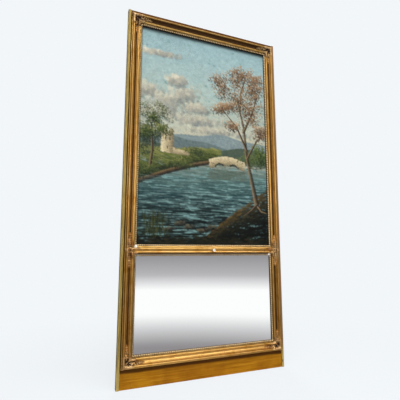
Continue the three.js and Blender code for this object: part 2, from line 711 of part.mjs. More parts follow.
const JUNCTION_HEIGHT = MIDDLE_SIGHT_HEIGHT + MIDDLE_WIDTH / 2;
const leftJunction = junctionOrnament().applyMatrix4(
  faceMatrix({ at: [-HALF_WIDTH, JUNCTION_HEIGHT], x: [1, 0], y: [0, 1] })
);
piece('left_leaf_junction', leftJunction, leafGilding);
piece('right_leaf_junction', mirroredAcross(leftJunction), leafGilding);

// Small turned button, half-way up the middle moulding. It reaches down into the cove.
function rosette() {
  const profile = [
    new THREE.Vector2(0, MIDDLE_COVE_FLOOR),
    new THREE.Vector2(ROSETTE_RADIUS, MIDDLE_COVE_FLOOR),
    new THREE.Vector2(ROSETTE_RADIUS, ROLL_HEIGHT + ROSETTE_RIM),
    new THREE.Vector2(ROSETTE_CROWN_RADIUS, ROLL_HEIGHT + ROSETTE_CROWN),
    new THREE.Vector2(0, ROLL_HEIGHT + ROSETTE_DIP),
  ];
  const button = new THREE.LatheGeometry(profile, 2 * WIRE_SIDES)
    .rotateX(Math.PI)
    .translate(ROSETTE_OFFSET, FRONT, JUNCTION_HEIGHT);
  const moulding = bar(middleProfile(SEAT_GAP), MIDDLE_SIDE.length);
  return cut(button, [moulding.applyMatrix4(sideMatrix(MIDDLE_SIDE, FRONT))]);
}

piece('middle_rosette', rosette(), bone);

// ---------------------------------------------------------------- painting

// A sheet over the stretcher's front, with its edges turned back over the stretcher's sides.
function canvas() {
  const edge = CANVAS_FRONT + CANVAS_TURNOVER;
  const inner = CANVAS_HALF - CANVAS_THICKNESS;
  const sheet = block([-CANVAS_HALF, CANVAS_FRONT, CANVAS_BOTTOM], [CANVAS_HALF, edge, CANVAS_TOP]);
  const hollow = block(
    [-inner, CANVAS_FRONT + CANVAS_THICKNESS, CANVAS_BOTTOM + CANVAS_THICKNESS],
    [inner, edge + 1, CANVAS_TOP - CANVAS_THICKNESS]
  );
  return cut(sheet, [hollow]);
}

piece('painting_canvas', canvas(), oilPaint);

function stretcherProfile() {
  const shape = new THREE.Shape();
  const half = STRETCHER_THICKNESS / 2;
  shape.moveTo(0, -half);
  shape.lineTo(STRETCHER_WIDTH, -half);
  shape.lineTo(STRETCHER_WIDTH, half);
  shape.lineTo(0, half);
  return shape;
}

// Slot for a key in a bar's inner edge, in the bar's frame.
function keySlot(along) {
  const half = KEY_THICKNESS / 2 + SEAT_GAP;
  return block(
    [STRETCHER_WIDTH - KEY_SLOT_DEPTH, -half, along - SEAT_GAP],
    [STRETCHER_WIDTH + 1, half, along + KEY_LENGTH + SEAT_GAP]
  );
}

function crossBarSlot(along) {
  const half = CROSS_BAR_TENON_THICKNESS / 2 + SEAT_GAP;
  const reach = STRETCHER_WIDTH / 2 - TENON_SHOULDER + SEAT_GAP;
  return block(
    [STRETCHER_WIDTH - CROSS_BAR_TENON - SEAT_GAP, -half, along - reach],
    [STRETCHER_WIDTH + 1, half, along + reach]
  );
}

const STRETCHER_SIDES = sidesOf(
  -STRETCHER_HALF, STRETCHER_HALF, STRETCHER_BOTTOM, STRETCHER_TOP
);
const KEY_START = STRETCHER_WIDTH + KEY_FROM_CORNER;

// A flat wedge in the slot, thin end towards the corner, in the bar's frame.
function key(along, pointsBack) {
  const root = STRETCHER_WIDTH - KEY_SLOT_DEPTH + SEAT_GAP;
  const widths = pointsBack ? [KEY_BACK_WIDTH, KEY_TIP_WIDTH] : [KEY_TIP_WIDTH, KEY_BACK_WIDTH];
  const shape = new THREE.Shape();
  shape.moveTo(root, -along);
  shape.lineTo(root + widths[0], -along);
  shape.lineTo(root + widths[1], -along - KEY_LENGTH);
  shape.lineTo(root, -along - KEY_LENGTH);
  return new THREE.ExtrudeGeometry(shape, { depth: KEY_THICKNESS, bevelEnabled: false })
    .translate(0, 0, -KEY_THICKNESS / 2)
    .rotateX(-Math.PI / 2);
}

for (const [name, side] of Object.entries(STRETCHER_SIDES)) {
  const upright = name === 'left' || name === 'right';
  const starts = { first: KEY_START, second: side.length - KEY_START - KEY_LENGTH };
  const slots = Object.values(starts).map(keySlot);
  if (upright) slots.push(crossBarSlot(side.length / 2));
  const geometry = cut(bar(stretcherProfile(), side.length, MITRED), slots);
  place(piece(`stretcher_${name}`, geometry, rawPine), side, STRETCHER_MIDDLE);
  for (const [order, along] of Object.entries(starts)) {
    const wedge = key(along, order === 'second');
    place(piece(`stretcher_${name}_${order}_key`, wedge, rawPine), side, STRETCHER_MIDDLE);
  }
}

function crossBar() {
  const half = STRETCHER_HALF - STRETCHER_WIDTH - SEAT_GAP;
  const reach = half + CROSS_BAR_TENON;
  const tall = STRETCHER_WIDTH / 2;
  const thick = STRETCHER_THICKNESS / 2;
  const tongue = CROSS_BAR_TENON_THICKNESS / 2;
  const tongueTall = tall - TENON_SHOULDER;
  return join([
    block([-half, -thick, -tall], [half, thick, tall]),
    block([-reach, -tongue, -tongueTall], [reach, tongue, tongueTall]),
  ]);
}

piece('stretcher_cross_bar', crossBar(), rawPine)
  .position.set(0, STRETCHER_MIDDLE, CROSS_BAR_HEIGHT);

// ---------------------------------------------------------------- glass and backboard

const pane = block([-GLASS_HALF, GLASS_FRONT, GLASS_BOTTOM], [GLASS_HALF, GLASS_BACK, GLASS_TOP]);
piece('mirror_glass', pane, silveredGlass);

function plank(bottom, top) {
  return block([-GLASS_HALF, PLANK_FRONT, bottom], [GLASS_HALF, BACK, top]);
}

piece('lower_back_plank', plank(GLASS_BOTTOM, PLANK_JOINT - SEAT_GAP / 2), rawPine);
piece('upper_back_plank', plank(PLANK_JOINT + SEAT_GAP / 2, GLASS_TOP), rawPine);

// ---------------------------------------------------------------- turn buttons

// A flat catch with round ends, its screw hole at the origin and its long end along -X.
function turnButton() {
  const round = BUTTON_WIDTH / 2;
  const shape = new THREE.Shape();
  shape.absarc(BUTTON_SHORT_END - round, 0, round, -Math.PI / 2, Math.PI / 2, false);
  shape.absarc(round - BUTTON_LONG_END, 0, round, Math.PI / 2, (3 * Math.PI) / 2, false);
  const hole = new THREE.Path();
  hole.absarc(0, 0, SCREW_RADIUS + SEAT_GAP, 0, 2 * Math.PI, true);
  shape.holes.push(hole);
  return new THREE.ExtrudeGeometry(shape, {
    depth: BUTTON_THICKNESS, bevelEnabled: false, curveSegments: ARC_STEPS,
  }).rotateX(-Math.PI / 2);
}

// A dome-headed slotted screw along Y, its head's underside at the origin.
function screw() {
  const length = SCREW_DEPTH + SCREW_HEAD_FRONT - BACK;
  const profile = [
    new THREE.Vector2(0, -length),
    new THREE.Vector2(SCREW_TIP_RADIUS, -length),
    new THREE.Vector2(SCREW_RADIUS, SCREW_TAPER - length),
    new THREE.Vector2(SCREW_RADIUS, 0),
    new THREE.Vector2(SCREW_HEAD_RADIUS, 0),
    new THREE.Vector2(...SCREW_HEAD_SHOULDER),
    new THREE.Vector2(0, SCREW_HEAD_HEIGHT),
  ];
  const body = new THREE.LatheGeometry(profile, SCREW_SIDES);
  const slot = block(
    [-SCREW_HEAD_RADIUS - 1, SCREW_HEAD_HEIGHT - SCREW_SLOT_DEPTH, -SCREW_SLOT_WIDTH / 2],
    [SCREW_HEAD_RADIUS + 1, SCREW_HEAD_HEIGHT + 1, SCREW_SLOT_WIDTH / 2]
  );
  return cut(body, [slot]);
}

for (const [sideName, side] of Object.entries({ left: -1, right: 1 })) {
  for (const [level, height] of Object.entries(BUTTON_HEIGHTS)) {
    const button = piece(`${sideName}_${level}_turn_button`, turnButton(), dullBrass);
    button.position.set(side * SCREW_X, BUTTON_FRONT, height);
    if (side < 0) button.rotation.y = Math.PI;
    const fixing = piece(`${sideName}_${level}_button_screw`, screw(), dullSteel);
    fixing.position.set(side * SCREW_X, SCREW_HEAD_FRONT, height);
  }
}

// ---------------------------------------------------------------- hanging rings

// A screw eye: a wire loop whose hole runs along X, on a shank that goes into the stile.
function screwEye() {
  const loop = new THREE.TorusGeometry(EYE_RADIUS, EYE_WIRE_RADIUS, WIRE_SIDES, EYE_STEPS)
    .rotateY(Math.PI / 2);
  const shank = rod(EYE_SHANK_RADIUS, 0, 0, BACK - EYE_DEPTH - EYE_CENTRE_Y, -EYE_RADIUS);
  return join([loop, shank]);
}

function hangingRing() {
  return new THREE.TorusGeometry(RING_RADIUS, RING_WIRE_RADIUS, WIRE_SIDES, RING_STEPS)
    .rotateX(Math.PI / 2);
}

for (const [sideName, side] of Object.entries({ left: -1, right: 1 })) {
  piece(`${sideName}_screw_eye`, screwEye(), dullBrass)
    .position.set(side * EYE_X, EYE_CENTRE_Y, EYE_Z);
  piece(`${sideName}_hanging_ring`, hangingRing(), dullBrass)
    .position.set(side * EYE_X, EYE_CENTRE_Y, RING_HINGE_Z - RING_RADIUS);
}

export default model;
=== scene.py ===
import math

import bmesh
import bpy
import numpy as np
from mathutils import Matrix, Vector


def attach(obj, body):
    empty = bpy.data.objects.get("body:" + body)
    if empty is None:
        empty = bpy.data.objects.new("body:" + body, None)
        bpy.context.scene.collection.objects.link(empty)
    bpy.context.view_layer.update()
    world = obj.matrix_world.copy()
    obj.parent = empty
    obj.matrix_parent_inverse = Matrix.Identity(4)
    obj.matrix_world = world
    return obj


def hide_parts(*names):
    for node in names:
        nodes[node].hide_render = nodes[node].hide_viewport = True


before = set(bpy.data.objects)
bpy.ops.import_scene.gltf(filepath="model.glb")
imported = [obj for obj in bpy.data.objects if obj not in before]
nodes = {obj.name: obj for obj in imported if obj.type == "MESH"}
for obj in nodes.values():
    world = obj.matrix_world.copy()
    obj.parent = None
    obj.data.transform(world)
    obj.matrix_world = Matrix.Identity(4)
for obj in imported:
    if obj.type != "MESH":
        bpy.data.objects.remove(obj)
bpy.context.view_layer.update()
MM = 0.001


# ---- Boards: stiles, rails and bottom board
# Softwood boards 18 mm thick, tenoned into two stiles. Their fronts are brushed with a thin
# gold-brown bronze paint that dried in level streaks; their backs are bare.

def linear(hex_colour):
    """An sRGB hex colour as linear RGBA."""
    channels = [int(hex_colour[i : i + 2], 16) / 255 for i in (1, 3, 5)]
    curve = [c / 12.92 if c <= 0.04045 else ((c + 0.055) / 1.055) ** 2.4 for c in channels]
    return [*curve, 1.0]


def add(tree, kind, inputs=None, ramp=(), **properties):
    """Adds a node. inputs goes by the name or number of an input, and holds a number, a hex colour,
    or what is linked to it: a node, for its first output, or a socket."""
    made = tree.nodes.new("ShaderNode" + kind)
    for name, value in properties.items():
        setattr(made, name, value)
    stops = made.color_ramp.elements if ramp else ()
    while len(stops) < len(ramp):
        stops.new(0.5)
    for stop, (position, colour) in zip(stops, ramp):
        stop.position = position
        stop.color = linear(colour)
    for name, value in (inputs or {}).items():
        source = value.outputs[0] if isinstance(value, bpy.types.Node) else value
        if isinstance(source, bpy.types.NodeSocket):
            tree.links.new(source, made.inputs[name])
        else:
            made.inputs[name].default_value = linear(value) if isinstance(value, str) else value
    return made


def material(name):
    """A new material, its node tree, and the socket that gives places on its object in metres."""
    made = bpy.data.materials.new(name)
    made.use_nodes = True
    made.node_tree.nodes.clear()
    return made, made.node_tree, add(made.node_tree, "TexCoord").outputs["Object"]


def pine(tree, place, along):
    """Colour and grain of bare pine: lines about 3 mm wide along X or Z that wander, and old dirt."""
    stretch = {"X": (1.2, 90, 90), "Z": (90, 90, 1.2)}[along]
    grain_place = add(tree, "Mapping", {"Vector": place, "Scale": stretch})
    drift = add(tree, "TexNoise", {"Vector": place, "Scale": 3.0, "Detail": 3.0})
    bend = add(tree, "VectorMath", {0: drift.outputs["Color"], "Scale": 3.5}, operation="SCALE")
    bent = add(tree, "VectorMath", {0: grain_place, 1: bend})
    grain = add(tree, "TexNoise", {"Vector": bent, "Scale": 3.3, "Detail": 4.0, "Roughness": 0.6})
    tone = add(
        tree, "ValToRGB", {"Fac": grain},
        ramp=[(0.3, "#6a4826"), (0.47, "#93703f"), (0.62, "#a98655"), (0.8, "#8a6638")],
    )
    age = add(tree, "TexNoise", {"Vector": place, "Scale": 7.0, "Detail": 5.0})
    dirt_and_shade = add(tree, "ValToRGB", {"Fac": age}, ramp=[(0.3, "#c4bbae"), (0.66, "#ffffff")])
    colour = add(tree, "MixRGB", {"Fac": 0.8, "Color1": tone, "Color2": dirt_and_shade}, blend_type="MULTIPLY")
    return colour, grain


PAINT_ENDS = 8.5 * MM  # as far back as the boards' edges are painted, their backs being at 9 mm


def bronze_painted_pine():
    """Thin bronze paint over pine: warm brown-gold streaks 2 to 8 mm high, half metallic, with painted shade
    above the bottom strip.
    """
    made, tree, place = material("bronze_painted_pine")
    bare, grain = pine(tree, place, "Z")
    streak_place = add(tree, "Mapping", {"Vector": place, "Scale": (7, 40, 170)})
    streak = add(
        tree, "TexNoise",
        {"Vector": streak_place, "Scale": 1.0, "Detail": 6.0, "Roughness": 0.62, "Distortion": 0.3},
    )
    paint = add(
        tree, "ValToRGB", {"Fac": streak},
        ramp=[(0.28, "#8a5204"), (0.44, "#b0740e"), (0.56, "#bd8014"), (0.74, "#d2982c")],
    )
    patch = add(tree, "TexNoise", {"Vector": place, "Scale": 9.0, "Detail": 3.0})
    worn = add(tree, "ValToRGB", {"Fac": patch}, ramp=[(0.3, "#b99a78"), (0.6, "#ffffff")])
    front = add(tree, "MixRGB", {"Fac": 0.7, "Color1": paint, "Color2": worn}, blend_type="MULTIPLY")
    where = add(tree, "SeparateXYZ", {0: place})
    behind = add(tree, "Math", {0: where.outputs["Y"], 1: PAINT_ENDS}, operation="GREATER_THAN")
    # Painted shadow: above about 63 mm the fronts are painted dark brown, with a ragged edge, for the shade
    # under the bottom moulding, and so on up to the boards' tops.
    ragged = add(tree, "Math", {0: patch, 1: 8 * MM, 2: where.outputs["Z"]}, operation="MULTIPLY_ADD")
    dirt_and_shade = add(
        tree, "MapRange", {"Value": ragged, "From Min": 60 * MM, "From Max": 66 * MM, "To Max": 0.95}
    )
    shaded_front = add(tree, "MixRGB", {"Fac": dirt_and_shade, "Color1": front, "Color2": "#4a2902"})
    colour = add(tree, "MixRGB", {"Fac": behind, "Color1": shaded_front, "Color2": bare})
    metal = add(tree, "MapRange", {"Value": behind, "To Min": 0.3, "To Max": 0.0})
    gloss = add(tree, "MapRange", {"Value": behind, "To Min": 0.5, "To Max": 0.8})
    height = add(tree, "Math", {0: streak, 1: grain}, operation="ADD")
    bump = add(tree, "Bump", {"Height": height, "Strength": 0.35, "Distance": 0.3 * MM})
    shader = add(tree, "BsdfPrincipled", {
        "Base Color": colour, "Metallic": metal, "Roughness": gloss, "Normal": bump,
        "Specular IOR Level": 0.15,
    })
    add(tree, "OutputMaterial", {"Surface": shader})
    return made


def finish_node(name, finish):
    """A CAD node keeps its shape and takes a better material."""
    nodes[name].data.materials.clear()
    nodes[name].data.materials.append(finish)


BOARD_FINISH = bronze_painted_pine()
for board in ("left_stile", "right_stile", "top_rail", "middle_rail", "bottom_board"):
    finish_node(board, BOARD_FINISH)


# ---- Edge laths
# Thin pine laths nailed along the two outer sides, 3 mm proud of the boards. They are brushed
# with an ochre oil paint, bright yellow on the front edge. The side is painted greyer and darker
# as painted shade, the paint darkens from 55 to 110 mm up, and above that the right lath is
# painted brown, a painted shade beside its moulding.

LATH_FRONT = -11.6 * MM  # what lies before this is a lath's front edge


def ochre_painted_lath():
    """Matt ochre paint, about 0.1 mm thick, rubbed on its arrises and chipped near the floor."""
    made, tree, place = material("ochre_painted_lath")
    where = add(tree, "SeparateXYZ", {0: place})
    streak_place = add(tree, "Mapping", {"Vector": place, "Scale": (160, 160, 9)})
    streak = add(tree, "TexNoise", {"Vector": streak_place, "Scale": 1.0, "Detail": 5.0, "Roughness": 0.65})
    # The second colour, greyer and darker, is painted shade on the lath's side.
    face, edge = (
        add(tree, "ValToRGB", {"Fac": streak}, ramp=ramp)
        for ramp in (
            [(0.3, "#7c6832"), (0.5, "#a68e4c"), (0.7, "#ccb268")],
            [(0.3, "#544c30"), (0.5, "#726844"), (0.72, "#8a7f58")],
        )
    )
    front = add(tree, "Math", {0: where.outputs["Y"], 1: LATH_FRONT}, operation="LESS_THAN")
    paint = add(tree, "MixRGB", {"Fac": front, "Color1": edge, "Color2": face})
    chips = add(tree, "TexNoise", {"Vector": place, "Scale": 90.0, "Detail": 4.0})
    low = add(
        tree, "MapRange", {"Value": where.outputs["Z"], "From Max": 60 * MM, "To Min": 0.62, "To Max": 0.74}
    )
    chipped = add(tree, "Math", {0: chips, 1: low}, operation="GREATER_THAN")
    colour = add(tree, "MixRGB", {"Fac": chipped, "Color1": paint, "Color2": "#5b3c16"})
    # The paint turns darker from 55 to 110 mm above the floor.
    above = add(tree, "MapRange", {"Value": where.outputs["Z"], "From Min": 55 * MM, "From Max": 110 * MM})
    darker_above = add(tree, "MixRGB", {"Fac": above, "Color1": colour, "Color2": "#d8d4c8"}, blend_type="MULTIPLY")
    # Painted shade: over the same rise the right lath turns brown, in the shade beside its moulding.
    right = add(tree, "Math", {0: where.outputs["X"], 1: 0.0}, operation="GREATER_THAN")
    right_shade = add(tree, "Math", {0: right, 1: above}, operation="MULTIPLY")
    right_shaded = add(tree, "MixRGB", {"Fac": right_shade, "Color1": darker_above, "Color2": "#7a5a34"})
    bump = add(tree, "Bump", {"Height": streak, "Strength": 0.3, "Distance": 0.25 * MM})
    shader = add(tree, "BsdfPrincipled", {
        "Base Color": right_shaded, "Normal": bump, "Roughness": 0.62, "Specular IOR Level": 0.4,
    })
    add(tree, "OutputMaterial", {"Surface": shader})
    return made


LATH_FINISH = ochre_painted_lath()
for lath in ("left_edge_lath", "right_edge_lath"):
    finish_node(lath, LATH_FINISH)


# ---- Gilt mouldings
# Pine run to a section of two beads, a cove and a roll, coated with gesso and red-brown bole,
# water gilt and toned. The leaf is thin on the crests, and brown glaze lies in the hollows.
# The hollows, the outer wall, the coves of the top and side bars, the middle bar's lower roll
# and the top bar are also painted darker, as painted shade.

# From here on, shapes are in millimetres.
FRONT, BACK = -9.0, 9.0  # the two faces of the boards
HALF_WIDTH = 380.0
GILT_BOTTOM, GILT_TOP = 61.0, 1598.0
GAP = 0.3  # between pieces that touch
MOULDING_WIDTH = 56.5
MIDDLE_WIDTH, MIDDLE_TOP = 34.4, 546.9
MIDDLE_CENTRE = MIDDLE_TOP - MIDDLE_WIDTH / 2
MIDDLE_HALF = HALF_WIDTH - MOULDING_WIDTH - GAP


def half_round(centre, top, radius):
    """Points of a half round, from its left foot over its top to its right foot."""
    angles = np.linspace(math.pi, 0, 11)
    return [(centre + radius * math.cos(a), top - radius + radius * math.sin(a)) for a in angles]


def curve(start, control, end, steps=14):
    """Points of a quadratic curve, without its first point."""
    t = np.linspace(0, 1, steps + 1)[1:, None]
    points = (1 - t) ** 2 * np.array(start) + 2 * t * (1 - t) * np.array(control) + t**2 * np.array(end)
    return [tuple(point) for point in points]


def softened(points, radius=0.45, spacing=0.5):
    """A section with its corners rounded, as gesso fills them; its two ends stay."""
    points = np.array(points)
    along = np.concatenate([[0], np.cumsum(np.hypot(*np.diff(points, axis=0).T))])
    even = np.linspace(0, along[-1], int(along[-1] / spacing) + 1)
    line = np.column_stack([np.interp(even, along, points[:, axis]) for axis in (0, 1)])
    reach = np.arange(-4, 5) * spacing
    weight = np.exp(-((reach / radius) ** 2) / 2)
    padded = np.pad(line, ((4, 4), (0, 0)), mode="edge")
    smooth = sum(w * padded[i : i + len(line)] for i, w in enumerate(weight)) / weight.sum()
    smooth[0], smooth[-1] = line[0], line[-1]
    return smooth


OUTER_SECTION = softened([
    (14, GAP), *half_round(17, 10.5, 3), *half_round(24, 18, 4),
    *curve((28, 14), (31.6, 4.5), (42.5, 4.5)), *half_round(48, 10.5, 5.5),
    (53.5, 3), (MOULDING_WIDTH, 3), (MOULDING_WIDTH, GAP),
])
MIDDLE_SECTION = softened([
    (0, GAP), (0, 3.2), (6, 4.4), *half_round(11.6, 10.5, 5.2),
    *curve((16.8, 5), (21.5, 2.5), (26.9, 5)), *half_round(30.3, 8.3, 3.4),
    (33.7, 3), (MIDDLE_WIDTH, 3), (MIDDLE_WIDTH, GAP),
])


def hollowness(section, reach=2.6):
    """How deep each point of a section lies between rises on both sides of it, from 0 to 1."""
    u, h = section.T
    ahead = u[None, :] - u[:, None]
    rise_before = np.where((ahead <= 0) & (ahead > -reach), h, -1).max(1)
    rise_after = np.where((ahead >= 0) & (ahead < reach), h, -1).max(1)
    return np.clip((np.minimum(rise_before, rise_after) - h) / 1.6, 0, 1)


def sides_of(left, right, bottom, top):
    """The four sides of a rectangle: where a bar starts, the way inwards, the way along, its length."""
    return {
        "top": ((right, top), (0, -1), (-1, 0), right - left),
        "left": ((left, top), (1, 0), (0, -1), top - bottom),
        "right": ((right, bottom), (-1, 0), (0, 1), top - bottom),
        "bottom": ((left, bottom), (0, 1), (1, 0), right - left),
    }


def unevenness(u, t, size, seed):
    """Slow hand-made waviness of a surface, in millimetres, from a few seeded waves."""
    waves = np.random.default_rng(seed)
    total = 0.0
    for _ in range(6):
        pitch_t, pitch_u = waves.uniform(25, 140), waves.uniform(12, 40)
        total = total + np.sin(t / pitch_t * 6.28 + u / pitch_u * 6.28 + waves.uniform(0, 6.28))
    return total * size / 6


def solid_piece(name, points, faces, finish, slot, replaced, body="frame", marks=None, crease=60):
    """A piece from points in millimetres, smooth but for edges over crease degrees, that rides on a
    body and stands for CAD nodes. marks holds a number or a colour for each point."""
    mesh = bpy.data.meshes.new(name)
    mesh.from_pydata((np.asarray(points, float) * MM).tolist(), [], faces)
    outside = bmesh.new()
    outside.from_mesh(mesh)
    bmesh.ops.recalc_face_normals(outside, faces=outside.faces)
    outside.to_mesh(mesh)
    outside.free()
    mesh.shade_smooth()
    mesh.set_sharp_from_angle(angle=math.radians(crease))
    for mark, values in (marks or {}).items():
        kind, field = ("FLOAT_COLOR", "color") if np.ndim(values) == 2 else ("FLOAT", "value")
        mesh.attributes.new(mark, kind, "POINT").data.foreach_set(field, np.asarray(values, "f").ravel())
    mesh.materials.append(finish)
    piece = bpy.data.objects.new(name, mesh)
    bpy.context.scene.collection.objects.link(piece)
    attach(piece, body)
    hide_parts(*replaced)
    return piece


def tube_faces(rows, ring):
    """Faces of a closed tube of point rings, with its two end caps."""
    faces = [
        (row * ring + i, row * ring + (i + 1) % ring, (row + 1) * ring + (i + 1) % ring, (row + 1) * ring + i)
        for row in range(rows - 1) for i in range(ring)
    ]
    return faces + [tuple(range(ring))[::-1], tuple((rows - 1) * ring + i for i in range(ring))]


def moulded_bar(name, section, side, mitred, step, finish, slot, seed, relief):
    """A bar of a section along a side, mitred or square at its ends, with relief on its face."""
    (at_x, at_z), inward, along, length = side
    u, h = section.T
    start = u + GAP / 2 if mitred else np.zeros_like(u)
    rows = int(length / step) + 1
    share = np.linspace(0, 1, rows)[:, None]
    t = start + (length - 2 * start) * share
    rise = h + unevenness(u, t, 0.16, seed) * (h > 1)
    # Painted shade as well as glaze: the section's hollows, and its first 1.2 mm from its first edge, are
    # marked dark.
    hollow = np.maximum(hollowness(section), u < section[0][0] + 1.2) + 0 * t
    if relief is not None:
        extra, sunk = relief(u + 0 * t, t, length)
        rise, hollow = rise + extra, np.maximum(hollow, sunk)
    points = np.stack(
        [at_x + inward[0] * u + along[0] * t, FRONT - rise, at_z + inward[1] * u + along[1] * t], -1
    )
    solid_piece(
        name, points.reshape(-1, 3), tube_faces(rows, len(u)), finish, slot,
        replaced=[name.replace("_gilded", "")], marks={"hollow": hollow.ravel()},
    )


# Two old chips beside the middle moulding: place and radius, in metres as in all materials.
CHIPS = (((-0.320, -0.015, 0.545), 9.5 * MM), ((0.314, -0.015, 0.511), 9.0 * MM))


def gilding(name, leaf, toned, glaze_and_shade, thin, gloss, top_bar_shade, varnish):
    """Gold leaf over bole: warm metal on the crests, mottled 4 to 25 mm wide, brown glaze and dust
    in the hollows with painted shade there too, bole where it is rubbed, gesso in its chips, and painted
    shade over the top bar."""
    made, tree, place = material(name)
    hollow = add(tree, "Attribute", attribute_name="hollow")
    cloud = add(tree, "TexNoise", {"Vector": place, "Scale": 26.0, "Detail": 6.0, "Roughness": 0.62})
    speck = add(tree, "TexNoise", {"Vector": place, "Scale": 240.0, "Detail": 4.0, "Roughness": 0.7})
    metal = add(tree, "ValToRGB", {"Fac": cloud}, ramp=[(0.3, toned), (0.52, leaf), (0.75, leaf)])
    depth = add(tree, "Math", {0: speck, 1: 0.5, 2: hollow.outputs["Fac"]}, operation="MULTIPLY_ADD")
    where = add(tree, "SeparateXYZ", {0: place})
    # Painted shade: the top bar, above 1.5 m, is pulled towards the dark glaze colour.
    high = add(
        tree, "MapRange", {"Value": where.outputs["Z"], "From Min": 1.5, "From Max": 1.56, "To Max": top_bar_shade}
    )
    glaze_and_shade_depth = add(tree, "Math", {0: depth, 1: high}, operation="ADD")
    glazed_and_shaded = add(tree, "MapRange", {"Value": glaze_and_shade_depth, "From Min": 0.45, "From Max": 1.15})
    toned_leaf = add(tree, "MixRGB", {"Fac": glazed_and_shaded, "Color1": metal, "Color2": glaze_and_shade})
    rubbing = add(tree, "TexNoise", {"Vector": place, "Scale": 60.0, "Detail": 7.0, "Roughness": 0.7})
    rubbed = add(tree, "MapRange", {"Value": rubbing, "From Min": 0.64, "From Max": 0.7, "To Max": 0.75})
    colour = add(tree, "MixRGB", {"Fac": rubbed, "Color1": toned_leaf, "Color2": thin})
    leafless = []
    for spot, radius in CHIPS:
        off = add(tree, "VectorMath", {0: place, 1: spot}, operation="DISTANCE").outputs["Value"]
        jagged = add(tree, "Math", {0: rubbing, 1: 6 * MM, 2: off}, operation="MULTIPLY_ADD")
        leafless.append(add(tree, "Math", {0: jagged, 1: radius}, operation="LESS_THAN"))
    chip = add(tree, "Math", {0: leafless[0], 1: leafless[1]}, operation="ADD")
    colour = add(tree, "MixRGB", {"Fac": chip, "Color1": colour, "Color2": "#f4ede2"})
    dull = add(tree, "Math", {0: chip, 1: glazed_and_shaded}, operation="MAXIMUM")
    shine = add(tree, "MapRange", {"Value": dull, "To Min": 0.96, "To Max": 0.15})
    rough = add(
        tree, "MapRange",
        {"Value": speck, "From Min": 0.3, "From Max": 0.7, "To Min": gloss, "To Max": gloss + 0.16},
    )
    rougher = add(tree, "Math", {0: glazed_and_shaded, 1: 0.25, 2: rough}, operation="MULTIPLY_ADD")
    bump = add(tree, "Bump", {"Height": speck, "Strength": 0.25, "Distance": 0.2 * MM})
    shader = add(tree, "BsdfPrincipled", {
        "Base Color": colour, "Metallic": shine, "Roughness": rougher, "Normal": bump,
        "Specular IOR Level": 0.1, "Coat Weight": varnish, "Coat Roughness": 0.2,
    })
    add(tree, "OutputMaterial", {"Surface": shader})
    return made


WATER_GILDING = gilding(
    "water_gilding_on_bole", "#e4b668", "#c28a34", "#3c2200", "#8a5420", 0.27, 0.62, 0.15
)


def shaded_cove(u, t, length, reach=5.5):
    """No relief, but painted shade along the floor of the cove."""
    return 0 * u, np.exp(-(((u - 36.5) / reach) ** 4))


def shaded_top_cove(u, t, length):
    """The top bar's cove, painted in shade up to both its beads."""
    return shaded_cove(u, t, length, reach=8.0)


def shaded_lower_roll(u, t, length):
    """The middle bar's lower roll, faces down and is painted in shade from crest to edge."""
    return 0 * u, 0.85 * (u > 26)


BAR_STEP = 7.0  # between the cross sections of a plain bar
# Painted shade lies along the coves of the top and side bars, but not along the bottom bar's cove, which
# faces the light.
COVES = {"top": shaded_top_cove, "left": shaded_cove, "right": shaded_cove, "bottom": None}
MOULDING_SIDES = sides_of(-HALF_WIDTH, HALF_WIDTH, GILT_BOTTOM, GILT_TOP)
for order, (name, side) in enumerate(MOULDING_SIDES.items()):
    moulded_bar(
        f"{name}_moulding_gilded", OUTER_SECTION, side, True, BAR_STEP, WATER_GILDING, "gilt_moulding",
        order, COVES[name],
    )
MIDDLE_SIDE = ((MIDDLE_HALF, MIDDLE_TOP), (0, -1), (-1, 0), 2 * MIDDLE_HALF)
moulded_bar(
    "middle_moulding_gilded", MIDDLE_SECTION, MIDDLE_SIDE, False, BAR_STEP, WATER_GILDING,
    "gilt_moulding", 9, shaded_lower_roll,
)


# ---- Sight strips
# Narrow strips round the two openings, cast in composition (chalk, glue and resin) with a
# running leaf every 9 mm, glued on and gilded. Their small crests catch the light as dots.

LEAF_PITCH = 9.0
LEAF_STEP = 0.9  # ten cross sections to each leaf


def running_leaf(u, t, length):
    """Relief of a row of small leaves that point to the sight edge, sunk so that crests stay level."""
    count = max(1, round(length / LEAF_PITCH))
    across = np.clip((u - GAP) / 6.2, 0, 1)
    place = t / length * count
    off = place - np.floor(place) - 0.5
    width = 0.46 * np.sqrt(np.clip(1 - across**1.8, 0.01, 1))
    leaf = np.sqrt(np.clip(1 - (off / width) ** 2, 0, 1)) * (1 - 0.35 * np.exp(-((off / 0.06) ** 2)))
    pearl = 0.7 * np.exp(-(((np.abs(off) - 0.5) / 0.1) ** 2) - ((across - 0.72) / 0.2) ** 2)
    shape = np.maximum(leaf, pearl) * np.clip(across / 0.12, 0, 1)
    # The second part marks the hollows between the leaves, and the strip's back wall, dark: glaze and painted
    # shade.
    wall = u <= GAP + 0.05
    return np.where(wall, 0, (shape - 1) * 1.8), np.where(wall, 0.8, 0.9 * (1 - shape))


def strip_section(back):
    """Section of a sight strip, from the moulding to the sight edge; back is where it is glued."""
    return np.array([(0.3, back), (0.3, 7.0), *curve((0.3, 7), (5.2, 7), (6.5, 4.5), 12), (6.5, back)])


